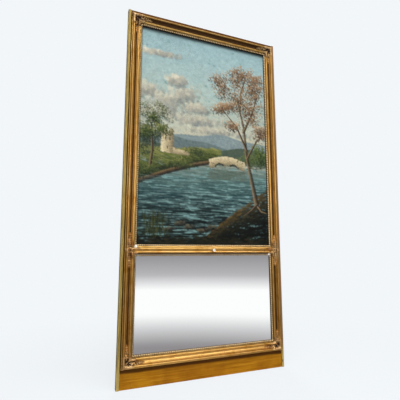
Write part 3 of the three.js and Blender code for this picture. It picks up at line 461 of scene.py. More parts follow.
LEAF_GILDING = gilding(
    "gilded_composition", "#ecd0a0", "#d0a870", "#2c1a05", "#c8a070", 0.30, 0.3, 0.12
)
OPENING = HALF_WIDTH - MOULDING_WIDTH  # half the width between the side mouldings
SIGHTS = {
    "painting": (sides_of(-OPENING, OPENING, MIDDLE_TOP, GILT_TOP - MOULDING_WIDTH), strip_section(-1.7)),
    "glass": (
        sides_of(-OPENING, OPENING, GILT_BOTTOM + MOULDING_WIDTH, MIDDLE_TOP - MIDDLE_WIDTH),
        strip_section(0.0),
    ),
}
for sight, (sides, section) in SIGHTS.items():
    for order, (name, side) in enumerate(sides.items()):
        moulded_bar(
            f"{sight}_sight_{name}_gilded", section, side, True, LEAF_STEP, LEAF_GILDING,
            "gilt_composition", 20 + order, running_leaf,
        )


# ---- Leaf ornaments
# Acanthus corners and junction pieces pressed from warm composition, bent over the mouldings
# while soft, then gilded and toned. Each is one skin of leaves with ribs, lobes and curled tips.

ORNAMENT_STEP = 0.7  # grid spacing, fine enough for ribs 1.5 mm apart
GRID_FROM, LEAVES_FROM = 13.3, 13.9  # how far in from the frame's edge the grid and the leaves start
LEVEL_UP_TO, FLATTENED_BY = 16.0, 5.2  # leaves above the first height flatten towards their sum
TONED_GILDING = gilding(
    "toned_gilt_ornament", "#f6cc90", "#ac7a44", "#241000", "#a4764a", 0.24, 0.5, 0.25
)


def acanthus(x, y, base, tip, half_width, height, lobes):
    """Height of one leaf above its ground at x, y; it falls below zero outside the leaf."""
    (bx, by), (tx, ty) = base, tip
    length = math.hypot(tx - bx, ty - by)
    ux, uy = (tx - bx) / length, (ty - by) / length
    s = ((x - bx) * ux + (y - by) * uy) / length
    c = np.abs((y - by) * ux - (x - bx) * uy)
    inside = np.clip(s, 0.001, 0.999)
    outline = inside**0.5 * (1 - inside) ** 0.55 * 1.9
    tooth = (inside * lobes) % 1.0
    width = half_width * outline * (1 - 0.38 * tooth)
    r = np.clip(c / np.maximum(width, 0.3), 0, 1)
    crown = height * (0.35 + 0.65 * np.sqrt(1 - r**2)) * (0.65 + 0.35 * np.sin(math.pi * inside))
    groove = 0.22 * height * np.exp(-((((inside * lobes + 0.45 * r) % 1.0) / 0.2) ** 2)) * r
    rib = 0.18 * height * np.exp(-((c / 0.8) ** 2))
    curl = 0.4 * height * np.exp(-(((inside - 0.86) / 0.08) ** 2)) * (1 - r**2)
    past = np.maximum(c - width, 0) + np.maximum(np.abs(s - 0.5) - 0.5, 0) * length
    return crown - groove + rib + curl - past * 1.7 * height / 3


def boss(x, y, centre, radius, height, petals=0):
    """A round bud or a small flower."""
    dx, dy = x - centre[0], y - centre[1]
    r = np.hypot(dx, dy)
    edge = radius * (1 - (0.16 * (1 - np.abs(np.cos(np.arctan2(dy, dx) * petals / 2))) if petals else 0))
    dome = height * np.sqrt(np.clip(1 - (r / edge) ** 2, 0, 1))
    if petals:
        heart = 0.45 * height * np.exp(-((r / (0.2 * radius)) ** 2))
        ring = 0.35 * height * np.exp(-(((r / radius - 0.36) / 0.09) ** 2))
        dome = 0.55 * height + 0.35 * height * np.cos(r / edge * 2.6 - 1.6) + heart - ring
    return dome - np.maximum(r - edge, 0) * 2.0


def spray(x, y, start, end, pairs, half_width, height):
    """A stem with pairs of leaflets that get smaller to its tip."""
    (sx, sy), (ex, ey) = start, end
    length = math.hypot(ex - sx, ey - sy)
    ux, uy = (ex - sx) / length, (ey - sy) / length
    best = acanthus(x, y, start, end, 1.5, height * 0.7, 1)
    for pair in range(pairs):
        share = pair / pairs
        root = (sx + ux * length * share * 0.86, sy + uy * length * share * 0.86)
        size = half_width * 2.1 * (1 - 0.45 * share)
        for turn in (0.62, -0.62):
            vx = ux * math.cos(turn) - uy * math.sin(turn)
            vy = ux * math.sin(turn) + uy * math.cos(turn)
            leaf_tip = (root[0] + vx * size, root[1] + vy * size)
            best = np.maximum(best, acanthus(x, y, root, leaf_tip, size * 0.36, height, 2))
    tip_root = (ex - ux * half_width * 2, ey - uy * half_width * 2)
    return np.maximum(best, acanthus(x, y, tip_root, (ex, ey), half_width * 0.5, height, 3))


def blurred(values, radius):
    """A map of heights, blurred over a radius in grid steps."""
    reach = int(radius * 2.5) + 1
    weight = np.exp(-((np.arange(-reach, reach + 1) / radius) ** 2) / 2)
    weight /= weight.sum()
    for axis in (0, 1):
        widths = [(reach, reach) if axis == k else (0, 0) for k in (0, 1)]
        padded = np.pad(values, widths, mode="edge")
        values = sum(
            w * np.take(padded, range(i, i + values.shape[axis]), axis) for i, w in enumerate(weight)
        )
    return values


def section_height(section, u):
    """Height of a section's front at distances from its edge."""
    front = section[1:-1] if section[0][1] < 1 else section
    return np.interp(u, front[:, 0] + np.arange(len(front)) * 1e-6, front[:, 1], left=0, right=0)


def pressed_ornament(name, x, y, ground, relief, to_face, replaced):
    """One skin of relief that follows the mouldings under it, closed at its back. to_face turns
    its grid and heights into places on the frame."""
    bridged = np.maximum(ground, blurred(ground, 3.2 / ORNAMENT_STEP))
    share = np.clip(relief / 1.2, 0, 1)
    relief = np.where(relief > 0, 1.3 * relief, relief)
    top = ground + relief + (bridged - ground) * share
    flattened = LEVEL_UP_TO + FLATTENED_BY * np.tanh((top - LEVEL_UP_TO) / FLATTENED_BY)
    top = np.where(top > LEVEL_UP_TO, flattened, top)
    # Painted shade as well as toning: points that lie below their blurred surroundings are marked dark.
    fine, broad = (blurred(top, reach / ORNAMENT_STEP) - top for reach in (1.6, 4.5))
    sunk = np.clip(0.16 + fine * 1.1 + broad * 0.7, 0, 1)
    kept = relief > -1.0
    cells = kept[:-1, :-1] & kept[1:, :-1] & kept[1:, 1:] & kept[:-1, 1:]
    grid = np.arange(x.size).reshape(x.shape)
    quads = np.stack([grid[:-1, :-1], grid[1:, :-1], grid[1:, 1:], grid[:-1, 1:]], -1)[cells]
    back = quads[:, ::-1] + x.size
    edges = np.concatenate([quads[:, [k, (k + 1) % 4]] for k in range(4)])
    known = set(map(tuple, edges.tolist()))
    rim = sorted((a, b) for a, b in known if (b, a) not in known)
    walls = [(b, a, a + x.size, b + x.size) for a, b in rim]
    faces = [*map(tuple, quads.tolist()), *map(tuple, back.tolist()), *walls]
    used = sorted({corner for face in faces for corner in face})
    renumber = {old: new for new, old in enumerate(used)}
    faces = [tuple(renumber[corner] for corner in face) for face in faces]
    top, under = np.maximum(top, 0.35), np.maximum(np.minimum(top, ground + relief) - 0.8, 0.05)
    points = np.concatenate([to_face(x, y, skin).reshape(-1, 3) for skin in (top, under)])
    solid_piece(
        name, points[used], faces, TONED_GILDING, "gilt_composition",
        replaced=replaced, marks={"hollow": np.tile(sunk.ravel(), 2)[used]},
    )


def corner_relief(x, y):
    """Leaves of a corner: a broad one on the diagonal, one along each bead and roll, and sprays."""
    forms = [
        acanthus(x, y, (56, 56), (14.5, 14.5), 15, 5.0, 4), boss(x, y, (50, 50), 5.5, 5.5, 6)
    ]
    for a, b in ((x, y), (y, x)):
        forms += [
            acanthus(a, b, (24, 26), (66, 24), 9.5, 4.2, 4),
            acanthus(a, b, (40, 49), (76, 48), 7.5, 3.6, 3),
            acanthus(a, b, (38, 38), (72, 35.5), 8.5, 4.4, 4),
            spray(a, b, (64, 35.5), (107, 35.5), 4, 5.6, 2.6),
        ]
    from_edge = np.minimum(x, y)
    ends = [(62.0 - from_edge) * 2 + 0.5, (from_edge - LEAVES_FROM) * 2]
    return np.minimum.reduce([np.maximum.reduce(forms), *ends])


steps = np.arange(GRID_FROM, 110, ORNAMENT_STEP)
corner_x, corner_y = np.meshgrid(steps, steps, indexing="ij")
nearest_edge = np.minimum(corner_x, corner_y)
corner_ground = np.maximum(
    section_height(OUTER_SECTION, nearest_edge), np.where(nearest_edge > MOULDING_WIDTH, 5.5, 0)
)
corner_leaves = corner_relief(corner_x, corner_y)
CORNERS = {
    "bottom_left": ((-HALF_WIDTH, GILT_BOTTOM), (1, 0), (0, 1)),
    "bottom_right": ((HALF_WIDTH, GILT_BOTTOM), (0, 1), (-1, 0)),
    "top_right": ((HALF_WIDTH, GILT_TOP), (-1, 0), (0, -1)),
    "top_left": ((-HALF_WIDTH, GILT_TOP), (0, -1), (1, 0)),
}
for corner, (at, first, second) in CORNERS.items():

    def corner_face(x, y, height):
        across = at[0] + first[0] * x + second[0] * y
        upward = at[1] + first[1] * x + second[1] * y
        return np.stack([across, FRONT - height, upward], -1)

    pressed_ornament(
        f"{corner}_acanthus_corner", corner_x, corner_y, corner_ground, corner_leaves, corner_face,
        [f"{corner}_leaf_corner"],
    )


def junction_relief(x, y):
    """Leaves of a junction: a flower in the cove, sprays up and down, a leaf along the roll."""
    forms = [
        boss(x, y, (35, 0), 12.5, 5.0, 6), acanthus(x, y, (30, 0), (14.5, 0), 8, 4.0, 3),
        acanthus(x, y, (42, 5), (80, 8.6), 7.5, 3.8, 4), boss(x, y, (88, -1.5), 2.6, 4.0),
        acanthus(x, y, (44, -8), (70, -11.5), 5.0, 3.0, 3),
    ]
    for up in (y, -y):
        forms += [
            acanthus(x, up, (33, 6), (35.3, 50), 8.5, 4.2, 5),
            acanthus(x, up, (28, 4), (24, 34), 5.5, 3.6, 3),
            acanthus(x, up, (44, 5), (48, 34), 6.0, 3.4, 3),
            spray(x, up, (35.3, 38), (35.3, 72), 3, 5.2, 2.6),
        ]
    within_middle = np.where(x > 57.5, 16.6 - np.abs(y), 99)
    ends = [(x - LEAVES_FROM) * 2, within_middle * 2]
    return np.minimum.reduce([np.maximum.reduce(forms), *ends])


junction_x, junction_y = np.meshgrid(
    np.arange(GRID_FROM, 94, ORNAMENT_STEP), np.arange(-75.6, 76, ORNAMENT_STEP), indexing="ij"
)
side_ground = np.where(junction_x < MOULDING_WIDTH, section_height(OUTER_SECTION, junction_x), 0)
down = MIDDLE_WIDTH / 2 - junction_y
on_middle = (junction_x > 50) & (down > 0) & (down < MIDDLE_WIDTH)
middle_ground = np.where(on_middle, section_height(MIDDLE_SECTION, down), 0)
junction_ground = np.maximum(side_ground, middle_ground)
junction_leaves = junction_relief(junction_x, junction_y)
for side_name, side in (("left", -1), ("right", 1)):

    def junction_face(x, y, height):
        return np.stack([side * (HALF_WIDTH - x), FRONT - height, MIDDLE_CENTRE + y], -1)

    pressed_ornament(
        f"{side_name}_acanthus_junction", junction_x, junction_y, junction_ground, junction_leaves,
        junction_face, [f"{side_name}_leaf_junction"],
    )


# ---- Bone button
# A small turned button of bone, 13 mm across with a raised rim and a dimple at its centre. Its
# peg is glued into the middle moulding's cove; its centre is coloured dark brown.

def turned(profile, sides):
    """Points and faces of a turned shape: radius and height along its axis, from end to end."""
    profile = np.array(profile, float)
    angles = np.arange(sides) / sides * 2 * math.pi
    ring = np.stack([np.cos(angles), np.sin(angles)], 1)
    points = np.concatenate([np.column_stack([ring * r, np.full(sides, h)]) for r, h in profile])
    return points, tube_faces(len(profile), sides)


def facing(points, centre, forward):
    """Turned points set down at a centre, their axis along Y: forward is -1 to the front."""
    return np.stack([points[:, 0], forward * points[:, 2], points[:, 1]], 1) + centre


def turned_bone():
    """Cream bone: faint growth streaks 1 mm apart, dark brown towards the dimple."""
    made, tree, place = material("turned_bone")
    hollow = add(tree, "Attribute", attribute_name="hollow")
    stretched = add(tree, "Mapping", {"Vector": place, "Scale": (900, 900, 140)})
    streak = add(tree, "TexNoise", {"Vector": stretched, "Scale": 1.0, "Detail": 4.0})
    bone = add(tree, "ValToRGB", {"Fac": streak}, ramp=[(0.3, "#efe2c4"), (0.55, "#fffbf0")])
    colour = add(tree, "MixRGB", {"Fac": hollow.outputs["Fac"], "Color1": bone, "Color2": "#5a4222"})
    bump = add(tree, "Bump", {"Height": streak, "Strength": 0.3, "Distance": 0.1 * MM})
    shader = add(tree, "BsdfPrincipled", {
        "Base Color": colour, "Normal": bump, "Roughness": 0.35, "Subsurface Weight": 0.1,
        "Subsurface Radius": (0.002, 0.001, 0.0006),
    })
    add(tree, "OutputMaterial", {"Surface": shader})
    return made


BUTTON_PROFILE = [
    (0.02, 4.0), (3.2, 4.0), (3.4, 7.6), (5.6, 8.2), (6.4, 9.2), (6.5, 10.3), (6.1, 11.3), (5.3, 11.9),
    (4.5, 11.8), (3.9, 11.1), (3.2, 10.7), (2.2, 10.9), (1.3, 10.6), (0.8, 9.9), (0.02, 9.7),
]
button_points, button_faces = turned(BUTTON_PROFILE, 40)
button_radius = np.hypot(button_points[:, 0], button_points[:, 1])
solid_piece(
    "turned_bone_button", facing(button_points, (28, FRONT, MIDDLE_CENTRE), -1), button_faces,
    turned_bone(), "bone_button", replaced=["middle_rosette"],
    marks={"hollow": np.where(button_radius < 1.5, 0.8, np.where(button_radius < 3.4, 0.1, 0.0))},
)


# ---- Painting
# A landscape in oils on linen, about 670 x 1020 mm before stretching. The edges are turned back
# 12 mm over the stretcher and tacked. The paint is brushed 0.1 to 0.3 mm thick, under a varnish.

PICTURE_WIDE, PICTURE_TALL = 482, 742  # places across and down where paint is laid
hand = np.random.default_rng(11)
picture = np.zeros((PICTURE_TALL, PICTURE_WIDE, 3))
body = np.zeros((PICTURE_TALL, PICTURE_WIDE))  # how thick the paint is, from 0 to 1


def tint(colour, spread=0.08):
    """A paint mixed from a hex colour, a little lighter, darker or warmer every time."""
    rgb = np.array(linear(colour)[:3])
    return np.clip(rgb * (1 + hand.normal(0, spread)) * (1 + hand.normal(0, spread / 3, 3)), 0, 1)


def graded(colours, share, spread=0.05):
    """A paint between the colours of a list, from 0 at its start to 1 at its end."""
    place = min(max(share, 0), 0.9999) * (len(colours) - 1)
    first = int(place)
    before, after = (np.array(linear(colour)[:3]) for colour in colours[first : first + 2])
    return np.clip((before + (after - before) * (place - first)) * (1 + hand.normal(0, spread)), 0, 1)


def dab(across, down, length, width, angle, colour, cover=0.9, thick=0.5):
    """One brush stroke: a soft-ended bar of paint with bristle marks along it."""
    x, y = across * PICTURE_WIDE, down * PICTURE_TALL
    reach = int(max(length, width) / 2 + 3)
    left, right = max(0, int(x) - reach), min(PICTURE_WIDE, int(x) + reach)
    top, bottom = max(0, int(y) - reach), min(PICTURE_TALL, int(y) + reach)
    if left >= right or top >= bottom:
        return
    dx, dy = np.meshgrid(np.arange(left, right) - x, np.arange(top, bottom) - y)
    along = dx * math.cos(angle) + dy * math.sin(angle)
    aside = dy * math.cos(angle) - dx * math.sin(angle)
    shape = np.clip(1.6 - 1.6 * (2 * np.abs(along) / length) ** 4, 0, 1)
    shape = shape * np.clip(1.7 - 1.7 * (2 * np.abs(aside) / width) ** 2, 0, 1)
    bristle = 0.85 + 0.15 * np.sin(aside * 2.6 + hand.uniform(0, 6.28))
    mask = shape * cover * bristle
    area = (slice(top, bottom), slice(left, right))
    picture[area] += (colour - picture[area]) * mask[..., None]
    body[area] += (thick * bristle - body[area]) * mask


def mass(count, spot, spread, colours, length, width, angle=None, cover=0.85, thick=0.5):
    """Many dabs heaped round a spot, lighter towards the upper left."""
    for _ in range(count):
        dx, dy = np.clip(hand.normal(0, 0.5, 2), -1.1, 1.1)
        light = 0.5 - 0.42 * dy - 0.22 * dx + hand.normal(0, 0.13)
        turn = hand.uniform(0, math.pi) if angle is None else angle + hand.normal(0, 0.15)
        size = hand.uniform(0.7, 1.25)
        dab(
            spot[0] + dx * spread[0], spot[1] + dy * spread[1], length * size, width * size,
            turn, graded(colours, light, 0.09), cover, thick,
        )


def crown(clumps, spot, spread, colours, size):
    """A tree's head: clumps of leaves, each lit from the upper left, the lower ones laid first."""
    places = [np.clip(hand.normal(0, 0.52, 2), -1.15, 1.15) for _ in range(clumps)]
    for dx, dy in sorted(places, key=lambda place: -place[1]):
        at = (spot[0] + dx * spread[0], spot[1] + dy * spread[1])
        shift = int(len(colours) > 4 and dy - dx < -0.3)
        mass(26, at, (size * 0.05, size * 0.026), colours[shift:], 7 * size, 3.6 * size, thick=0.7)


BARK = ("#7d6a50", "#4d3f2f", "#241d17")


def limb(points, thick):
    """A trunk or branch: dabs along a bent line that thins to its end, lit from the left."""
    points = np.array(points, float)
    for step in np.linspace(0, 1, 40):
        share = min(step * (len(points) - 1), len(points) - 1.001)
        first, size = int(share), thick * (1 - 0.72 * step)
        spot = points[first] + (points[first + 1] - points[first]) * (share - first)
        way = (points[first + 1] - points[first]) * (PICTURE_WIDE, PICTURE_TALL)
        for aside, colour in zip((-0.32, 0.02, 0.34), BARK):
            offset = aside * size / PICTURE_WIDE
            dab(spot[0] + offset, spot[1], 14, size * 0.5 + 1, math.atan2(way[1], way[0]), tint(colour))


# Sky, with piled clouds at the left and a thin bank above the hills.
SKY = ["#86a0a3", "#8ea5a5", "#96aaa6", "#a0aca1", "#adae9c", "#b8b096"]
picture[:] = tint("#6a8a8a")
for _ in range(2400):
    across, down = hand.uniform(0, 1), hand.uniform(0, 0.62)
    dab(
        across, down, 46, 12, hand.normal(0.1, 0.5),
        graded(SKY, down / 0.56 + hand.normal(0, 0.05), 0.03), 0.7, 0.3,
    )
CLOUD = ["#6a7272", "#81847c", "#9a978a", "#b2ac98", "#c6bfa8"]
for spot, spread in (
    ((0.14, 0.40), (0.22, 0.035)), ((0.42, 0.42), (0.20, 0.022)), ((0.60, 0.46), (0.24, 0.014)),
    ((0.06, 0.31), (0.10, 0.035)), ((0.20, 0.35), (0.14, 0.04)), ((0.33, 0.30), (0.10, 0.04)),
    ((0.27, 0.24), (0.07, 0.026)), ((0.43, 0.36), (0.08, 0.022)), ((0.12, 0.12), (0.16, 0.008)),
):
    mass(130, spot, spread, CLOUD, 20, 11, cover=0.5, thick=0.5)

# Hills and distant woods, cooler and paler with distance.
for ridge, colours in (
    (0.500, ["#6f7f83", "#7b8886"]), (0.528, ["#566567", "#63706b"]), (0.553, ["#3c4a42", "#4a5644"])
):
    for across in np.linspace(-0.02, 1.02, 130):
        crest = ridge + 0.016 * math.sin(across * 6 + ridge * 90)
        crest += 0.005 * math.sin(across * 19 + ridge * 300)
        for drop in np.linspace(0, 0.07, 6):
            turn = hand.normal(0.1, 0.2)
            dab(across, crest + drop, 18, 11, turn, graded(colours, hand.uniform(0, 1)), 0.8, 0.2)

# Water, drawn level, from the pale far bend to the dark near edge.
WATER = ["#8a9082", "#5a6c64", "#34504f", "#1a3539", "#0e2024", "#080f10", "#050909"]
for _ in range(2400):
    across, down = hand.uniform(-0.02, 1.02), hand.uniform(0.6, 1.0)
    dab(
        across, down, hand.uniform(22, 60), 4.2, hand.normal(0, 0.025),
        graded(WATER, (down - 0.6) / 0.34 + hand.normal(0, 0.06), 0.06), 0.75, 0.3,
    )

# Left bank: a sunny meadow with an earth edge, falling to the water.
MEADOW = ["#20271a", "#353e20", "#4b5428", "#636a36", "#7f7e49"]


def shore(across):
    """How far down the meadow ends."""
    return 0.60 + 0.12 * max(0, 1 - across / 0.6) ** 1.4


for _ in range(1100):
    across = hand.uniform(-0.02, 0.6)
    top = 0.556 + 0.012 * math.sin(across * 9)
    down = hand.uniform(top, shore(across))
    light = 1 - (down - top) / (shore(across) - top) + hand.normal(0, 0.18)
    dab(across, down, 22, 5, 0.16 + hand.normal(0, 0.12), graded(MEADOW, light, 0.07), 0.85, 0.4)
for across in np.linspace(-0.02, 0.6, 150):
    for drop, colour in ((0, "#6a573a"), (0.006, "#46392a"), (0.012, "#25231d")):
        dab(across, shore(across) + drop, 10, 6, hand.normal(0.1, 0.3), tint(colour, 0.12), 0.85, 0.4)

# A ruined round tower with a broken wall, and a stone bridge of two arches over the bend.
STONE = ["#574e3e", "#7a6e55", "#a0916f", "#bcab86", "#d0c29c"]
for _ in range(620):
    side, up = hand.uniform(-1, 1), hand.uniform(0, 1)
    if up < 0.9 - 0.12 * math.sin(side * 5 + 1):
        dab(
            0.205 + 0.045 * side * (1 - 0.12 * up), 0.585 - 0.115 * up, 7, 4, hand.normal(0, 0.12),
            graded(STONE, 0.6 - 0.42 * side + hand.normal(0, 0.08)), 0.9, 0.55,
        )
for _ in range(200):
    share, up = hand.uniform(0, 1), hand.uniform(0, 1)
    dab(
        0.25 + 0.11 * share, 0.588 - 0.026 * up * (1 - 0.5 * share), 7, 3.5, 0,
        graded(STONE, 0.3 + 0.5 * up), 0.9, 0.5,
    )
for across, down in ((0.192, 0.52), (0.222, 0.522), (0.205, 0.562)):
    dab(across, down, 10, 5, math.pi / 2, tint("#2c281f"), 0.95, 0.1)
for _ in range(1100):
    across, drop = hand.uniform(0.52, 0.80), hand.uniform(0, 1)
    deck = 0.596 - 0.02 * math.sin((across - 0.52) / 0.28 * math.pi)
    down = deck + drop * 0.045
    arch = min(math.hypot((across - centre) / 0.046, (down - 0.644) / 0.034) for centre in (0.60, 0.71))
    light = 0.95 - 0.8 * drop + hand.normal(0, 0.08)
    if arch > 1.05:
        dab(across, down, 7, 3.2, hand.normal(0, 0.1), graded(STONE, light), 0.92, 0.5)
    elif arch > 0.8:
        dab(across, down, 4, 4, 0, tint("#2a2a24"), 0.9, 0.2)
for _ in range(260):
    dab(hand.uniform(0.51, 0.81), hand.uniform(0.643, 0.69), 26, 3.2, 0, tint("#4e5b50", 0.15), 0.5, 0.2)

# Woods behind the bridge, a pale grove at the far left and bushes on the meadow.
crown(26, (0.94, 0.565), (0.10, 0.045), ["#172016", "#26331f", "#3b4a28", "#55622f", "#747e40"], 1.0)
crown(16, (0.83, 0.585), (0.06, 0.02), ["#26331f", "#3a4a29", "#556033", "#717a41"], 0.8)
crown(30, (0.05, 0.52), (0.09, 0.06), ["#1a211c", "#2b342b", "#414a3a", "#5a5f48"], 0.9)
crown(20, (0.42, 0.572), (0.09, 0.014), ["#1d261c", "#333e28", "#4f5a35"], 0.6)

# Near right bank: dark earth in shadow, that carries the great tree.
EARTH = ["#0c100e", "#171a13", "#2a2719", "#46391f", "#66522f"]


def slope(across):
    """How far down the near bank starts."""
    return 0.955 - 0.235 * min(max((across - 0.5) / 0.5, 0), 1) ** 0.9


for _ in range(1700):
    across, share = hand.uniform(0.48, 1.02), hand.uniform(0, 1)
    down = slope(across) + share * (1.02 - slope(across))
    dab(
        across, down, 17, 6, hand.normal(-0.3, 0.3),
        graded(EARTH, 0.8 - 1.6 * share + hand.normal(0, 0.12), 0.1), 0.9, 0.5,
    )
for _ in range(700):
    dab(
        hand.uniform(-0.02, 1.02), 1.0 - abs(hand.normal(0, 0.02)), 24, 6, hand.normal(0, 0.2),
        graded(EARTH, hand.uniform(0, 0.5), 0.12), 0.9, 0.4,
    )

# The great tree in russet leaf, leaning over the water.
for points, thick in (
    (((0.90, 0.80), (0.86, 0.68), (0.82, 0.56), (0.80, 0.42), (0.75, 0.28)), 17),
    (((0.82, 0.53), (0.74, 0.42), (0.65, 0.36)), 8), (((0.80, 0.44), (0.87, 0.35), (0.92, 0.26)), 9),
    (((0.83, 0.57), (0.91, 0.48), (0.98, 0.44)), 8), (((0.77, 0.34), (0.78, 0.24), (0.82, 0.17)), 7),
    (((0.90, 0.80), (0.94, 0.83), (0.99, 0.84)), 9), (((0.90, 0.80), (0.85, 0.83), (0.80, 0.85)), 8),
):
    limb(points, thick)
RUSSET = ["#231c17", "#3b2e25", "#5a4533", "#7a5f45", "#98795a", "#b3946c"]
for clumps, spot, spread in (
    (34, (0.84, 0.33), (0.15, 0.06)), (40, (0.74, 0.25), (0.15, 0.06)), (34, (0.90, 0.19), (0.11, 0.06)),
    (26, (0.78, 0.15), (0.12, 0.04)), (18, (0.62, 0.34), (0.08, 0.03)), (20, (0.96, 0.43), (0.07, 0.04)),
    (12, (0.60, 0.20), (0.05, 0.03)), (10, (0.70, 0.42), (0.05, 0.016)),
):
    crown(clumps, spot, spread, RUSSET, 0.9)

# A slender green tree and bushes on the left bank.
limb(((0.085, 0.66), (0.10, 0.58), (0.09, 0.47)), 9)
GREEN = ["#0e1611", "#1a261a", "#2c3a21", "#444f28", "#606634", "#7c7c45"]
for clumps, spot, spread in (
    (34, (0.10, 0.44), (0.10, 0.06)), (18, (0.05, 0.50), (0.06, 0.03)), (16, (0.17, 0.49), (0.05, 0.022)),
    (26, (0.05, 0.675), (0.08, 0.025)), (16, (0.30, 0.632), (0.07, 0.012)),
):
    crown(clumps, spot, spread, GREEN, 0.8)

# Rocks and reeds at the near shore, and glints on the water.
ROCK = ["#0c0f0e", "#1b1d1a", "#302f28", "#4a473a", "#635e4a"]
for spot in ((0.30, 0.90), (0.37, 0.915), (0.23, 0.925), (0.46, 0.93), (0.53, 0.915)):
    mass(60, spot, (0.035, 0.010), ROCK, 9, 5, 0.1, thick=0.7)
for _ in range(170):
    dab(
        hand.normal(0.12, 0.05), hand.uniform(0.86, 0.95), 26, 2.2, -math.pi / 2 + hand.normal(0, 0.16),
        graded(["#141a10", "#293019", "#474b29"], hand.uniform(0, 1), 0.1), 0.8, 0.6,
    )
for _ in range(90):
    dab(
        hand.uniform(0.02, 0.8), hand.uniform(0.69, 0.82), hand.uniform(30, 70), 1.9, 0,
        tint("#7f9a92"), 0.22, 0.4,
    )

# The weave takes paint unevenly. Painted shadow of the sight edge lies along it: two bands at the top,
# one inside the other, and one down each side.
picture *= 1 + 0.28 * blurred(hand.normal(0, 1, picture.shape[:2]), 2)[..., None]
by_columns = picture.transpose(1, 0, 2)
for rim, reach in ((picture, 16), (picture, 5), (by_columns, 7), (by_columns[::-1], 4)):
    depth = np.exp(-((np.arange(len(rim)) / reach) ** 4))[:, None, None]
    rim *= 1 - 0.92 * depth


CANVAS_HALF, CANVAS_TOP, CANVAS_BOTTOM = 322.3, 1540.8, 546.4
PAINT_FRONT = -6.85  # where the thinnest paint lies
TACK_PITCH = 75.0


def painted_canvas():
    """Points, faces and paint of the sheet: relief in front, a turned edge, a plain inner side."""
    columns, rows = 238, 367
    x, z = np.meshgrid(
        np.linspace(-CANVAS_HALF, CANVAS_HALF, columns), np.linspace(CANVAS_TOP, CANVAS_BOTTOM, rows)
    )
    across = ((np.arange(columns) + 0.5) / columns * PICTURE_WIDE).astype(int)
    down = ((np.arange(rows) + 0.5) / rows * PICTURE_TALL).astype(int)
    here = np.ix_(down, across)
    paint = np.stack([blurred(picture[..., k], 0.7)[here] for k in range(3)] + [np.ones_like(x)], -1)
    front = np.stack([x, PAINT_FRONT - 0.32 * blurred(body, 0.7)[here], z], -1).reshape(-1, 3)
    grid = np.arange(rows * columns).reshape(rows, columns)
    corners = [grid[:-1, :-1], grid[1:, :-1], grid[1:, 1:], grid[:-1, 1:]]
    faces = np.stack(corners, -1).reshape(-1, 4).tolist()
    loop = np.concatenate([grid[0, :-1], grid[:-1, -1], grid[-1, :0:-1], grid[:0:-1, 0]]).tolist()
    edge, count = front[loop], len(loop)
    off_x, off_z = edge[:, 0], edge[:, 2] - (CANVAS_TOP + CANVAS_BOTTOM) / 2
    half_height = (CANVAS_TOP - CANVAS_BOTTOM) / 2
    outward = np.stack([
        np.sign(off_x) * (np.abs(off_x) > CANVAS_HALF - 0.1), 0 * off_x,
        np.sign(off_z) * (np.abs(off_z) > half_height - 0.1),
    ], 1)
    between_tacks = 0.5 - 0.5 * np.cos((np.abs(off_x) + edge[:, 2]) / TACK_PITCH * 2 * math.pi)
    points = [front]
    for depth, out in (
        (-5.9, 0.15), (-2, 0.17), (2, 0.15), (4.7, 0.0), (4.7, -0.8), (2, -0.8), (-2, -0.8), (-5.9, -0.8)
    ):
        ring = edge + outward * out
        ring[:, 1] = depth - (0.8 * between_tacks if depth > 4 else 0)
        new = [sum(map(len, points)) + i for i in range(count)]
        points.append(ring)
        faces += [(loop[i], loop[(i + 1) % count], new[(i + 1) % count], new[i]) for i in range(count)]
        loop = new
    # The inner side is one long strip per row, with a many-sided face along the top and the bottom.
    right = loop[columns - 1 : columns - 1 + rows]
    left = [loop[0], *loop[: 2 * columns + rows - 4 : -1]]
    faces.append((*loop[:columns], right[1], left[1]))
    faces += [(left[k], right[k], right[k + 1], left[k + 1]) for k in range(1, rows - 2)]
    bottom = loop[columns + rows - 2 : 2 * columns + rows - 2]
    faces.append((left[rows - 2], right[rows - 2], *bottom))
    points = np.concatenate(points)
    linen = np.zeros((len(points) - front.shape[0], 4))
    return points, faces, np.concatenate([paint.reshape(-1, 4), linen])


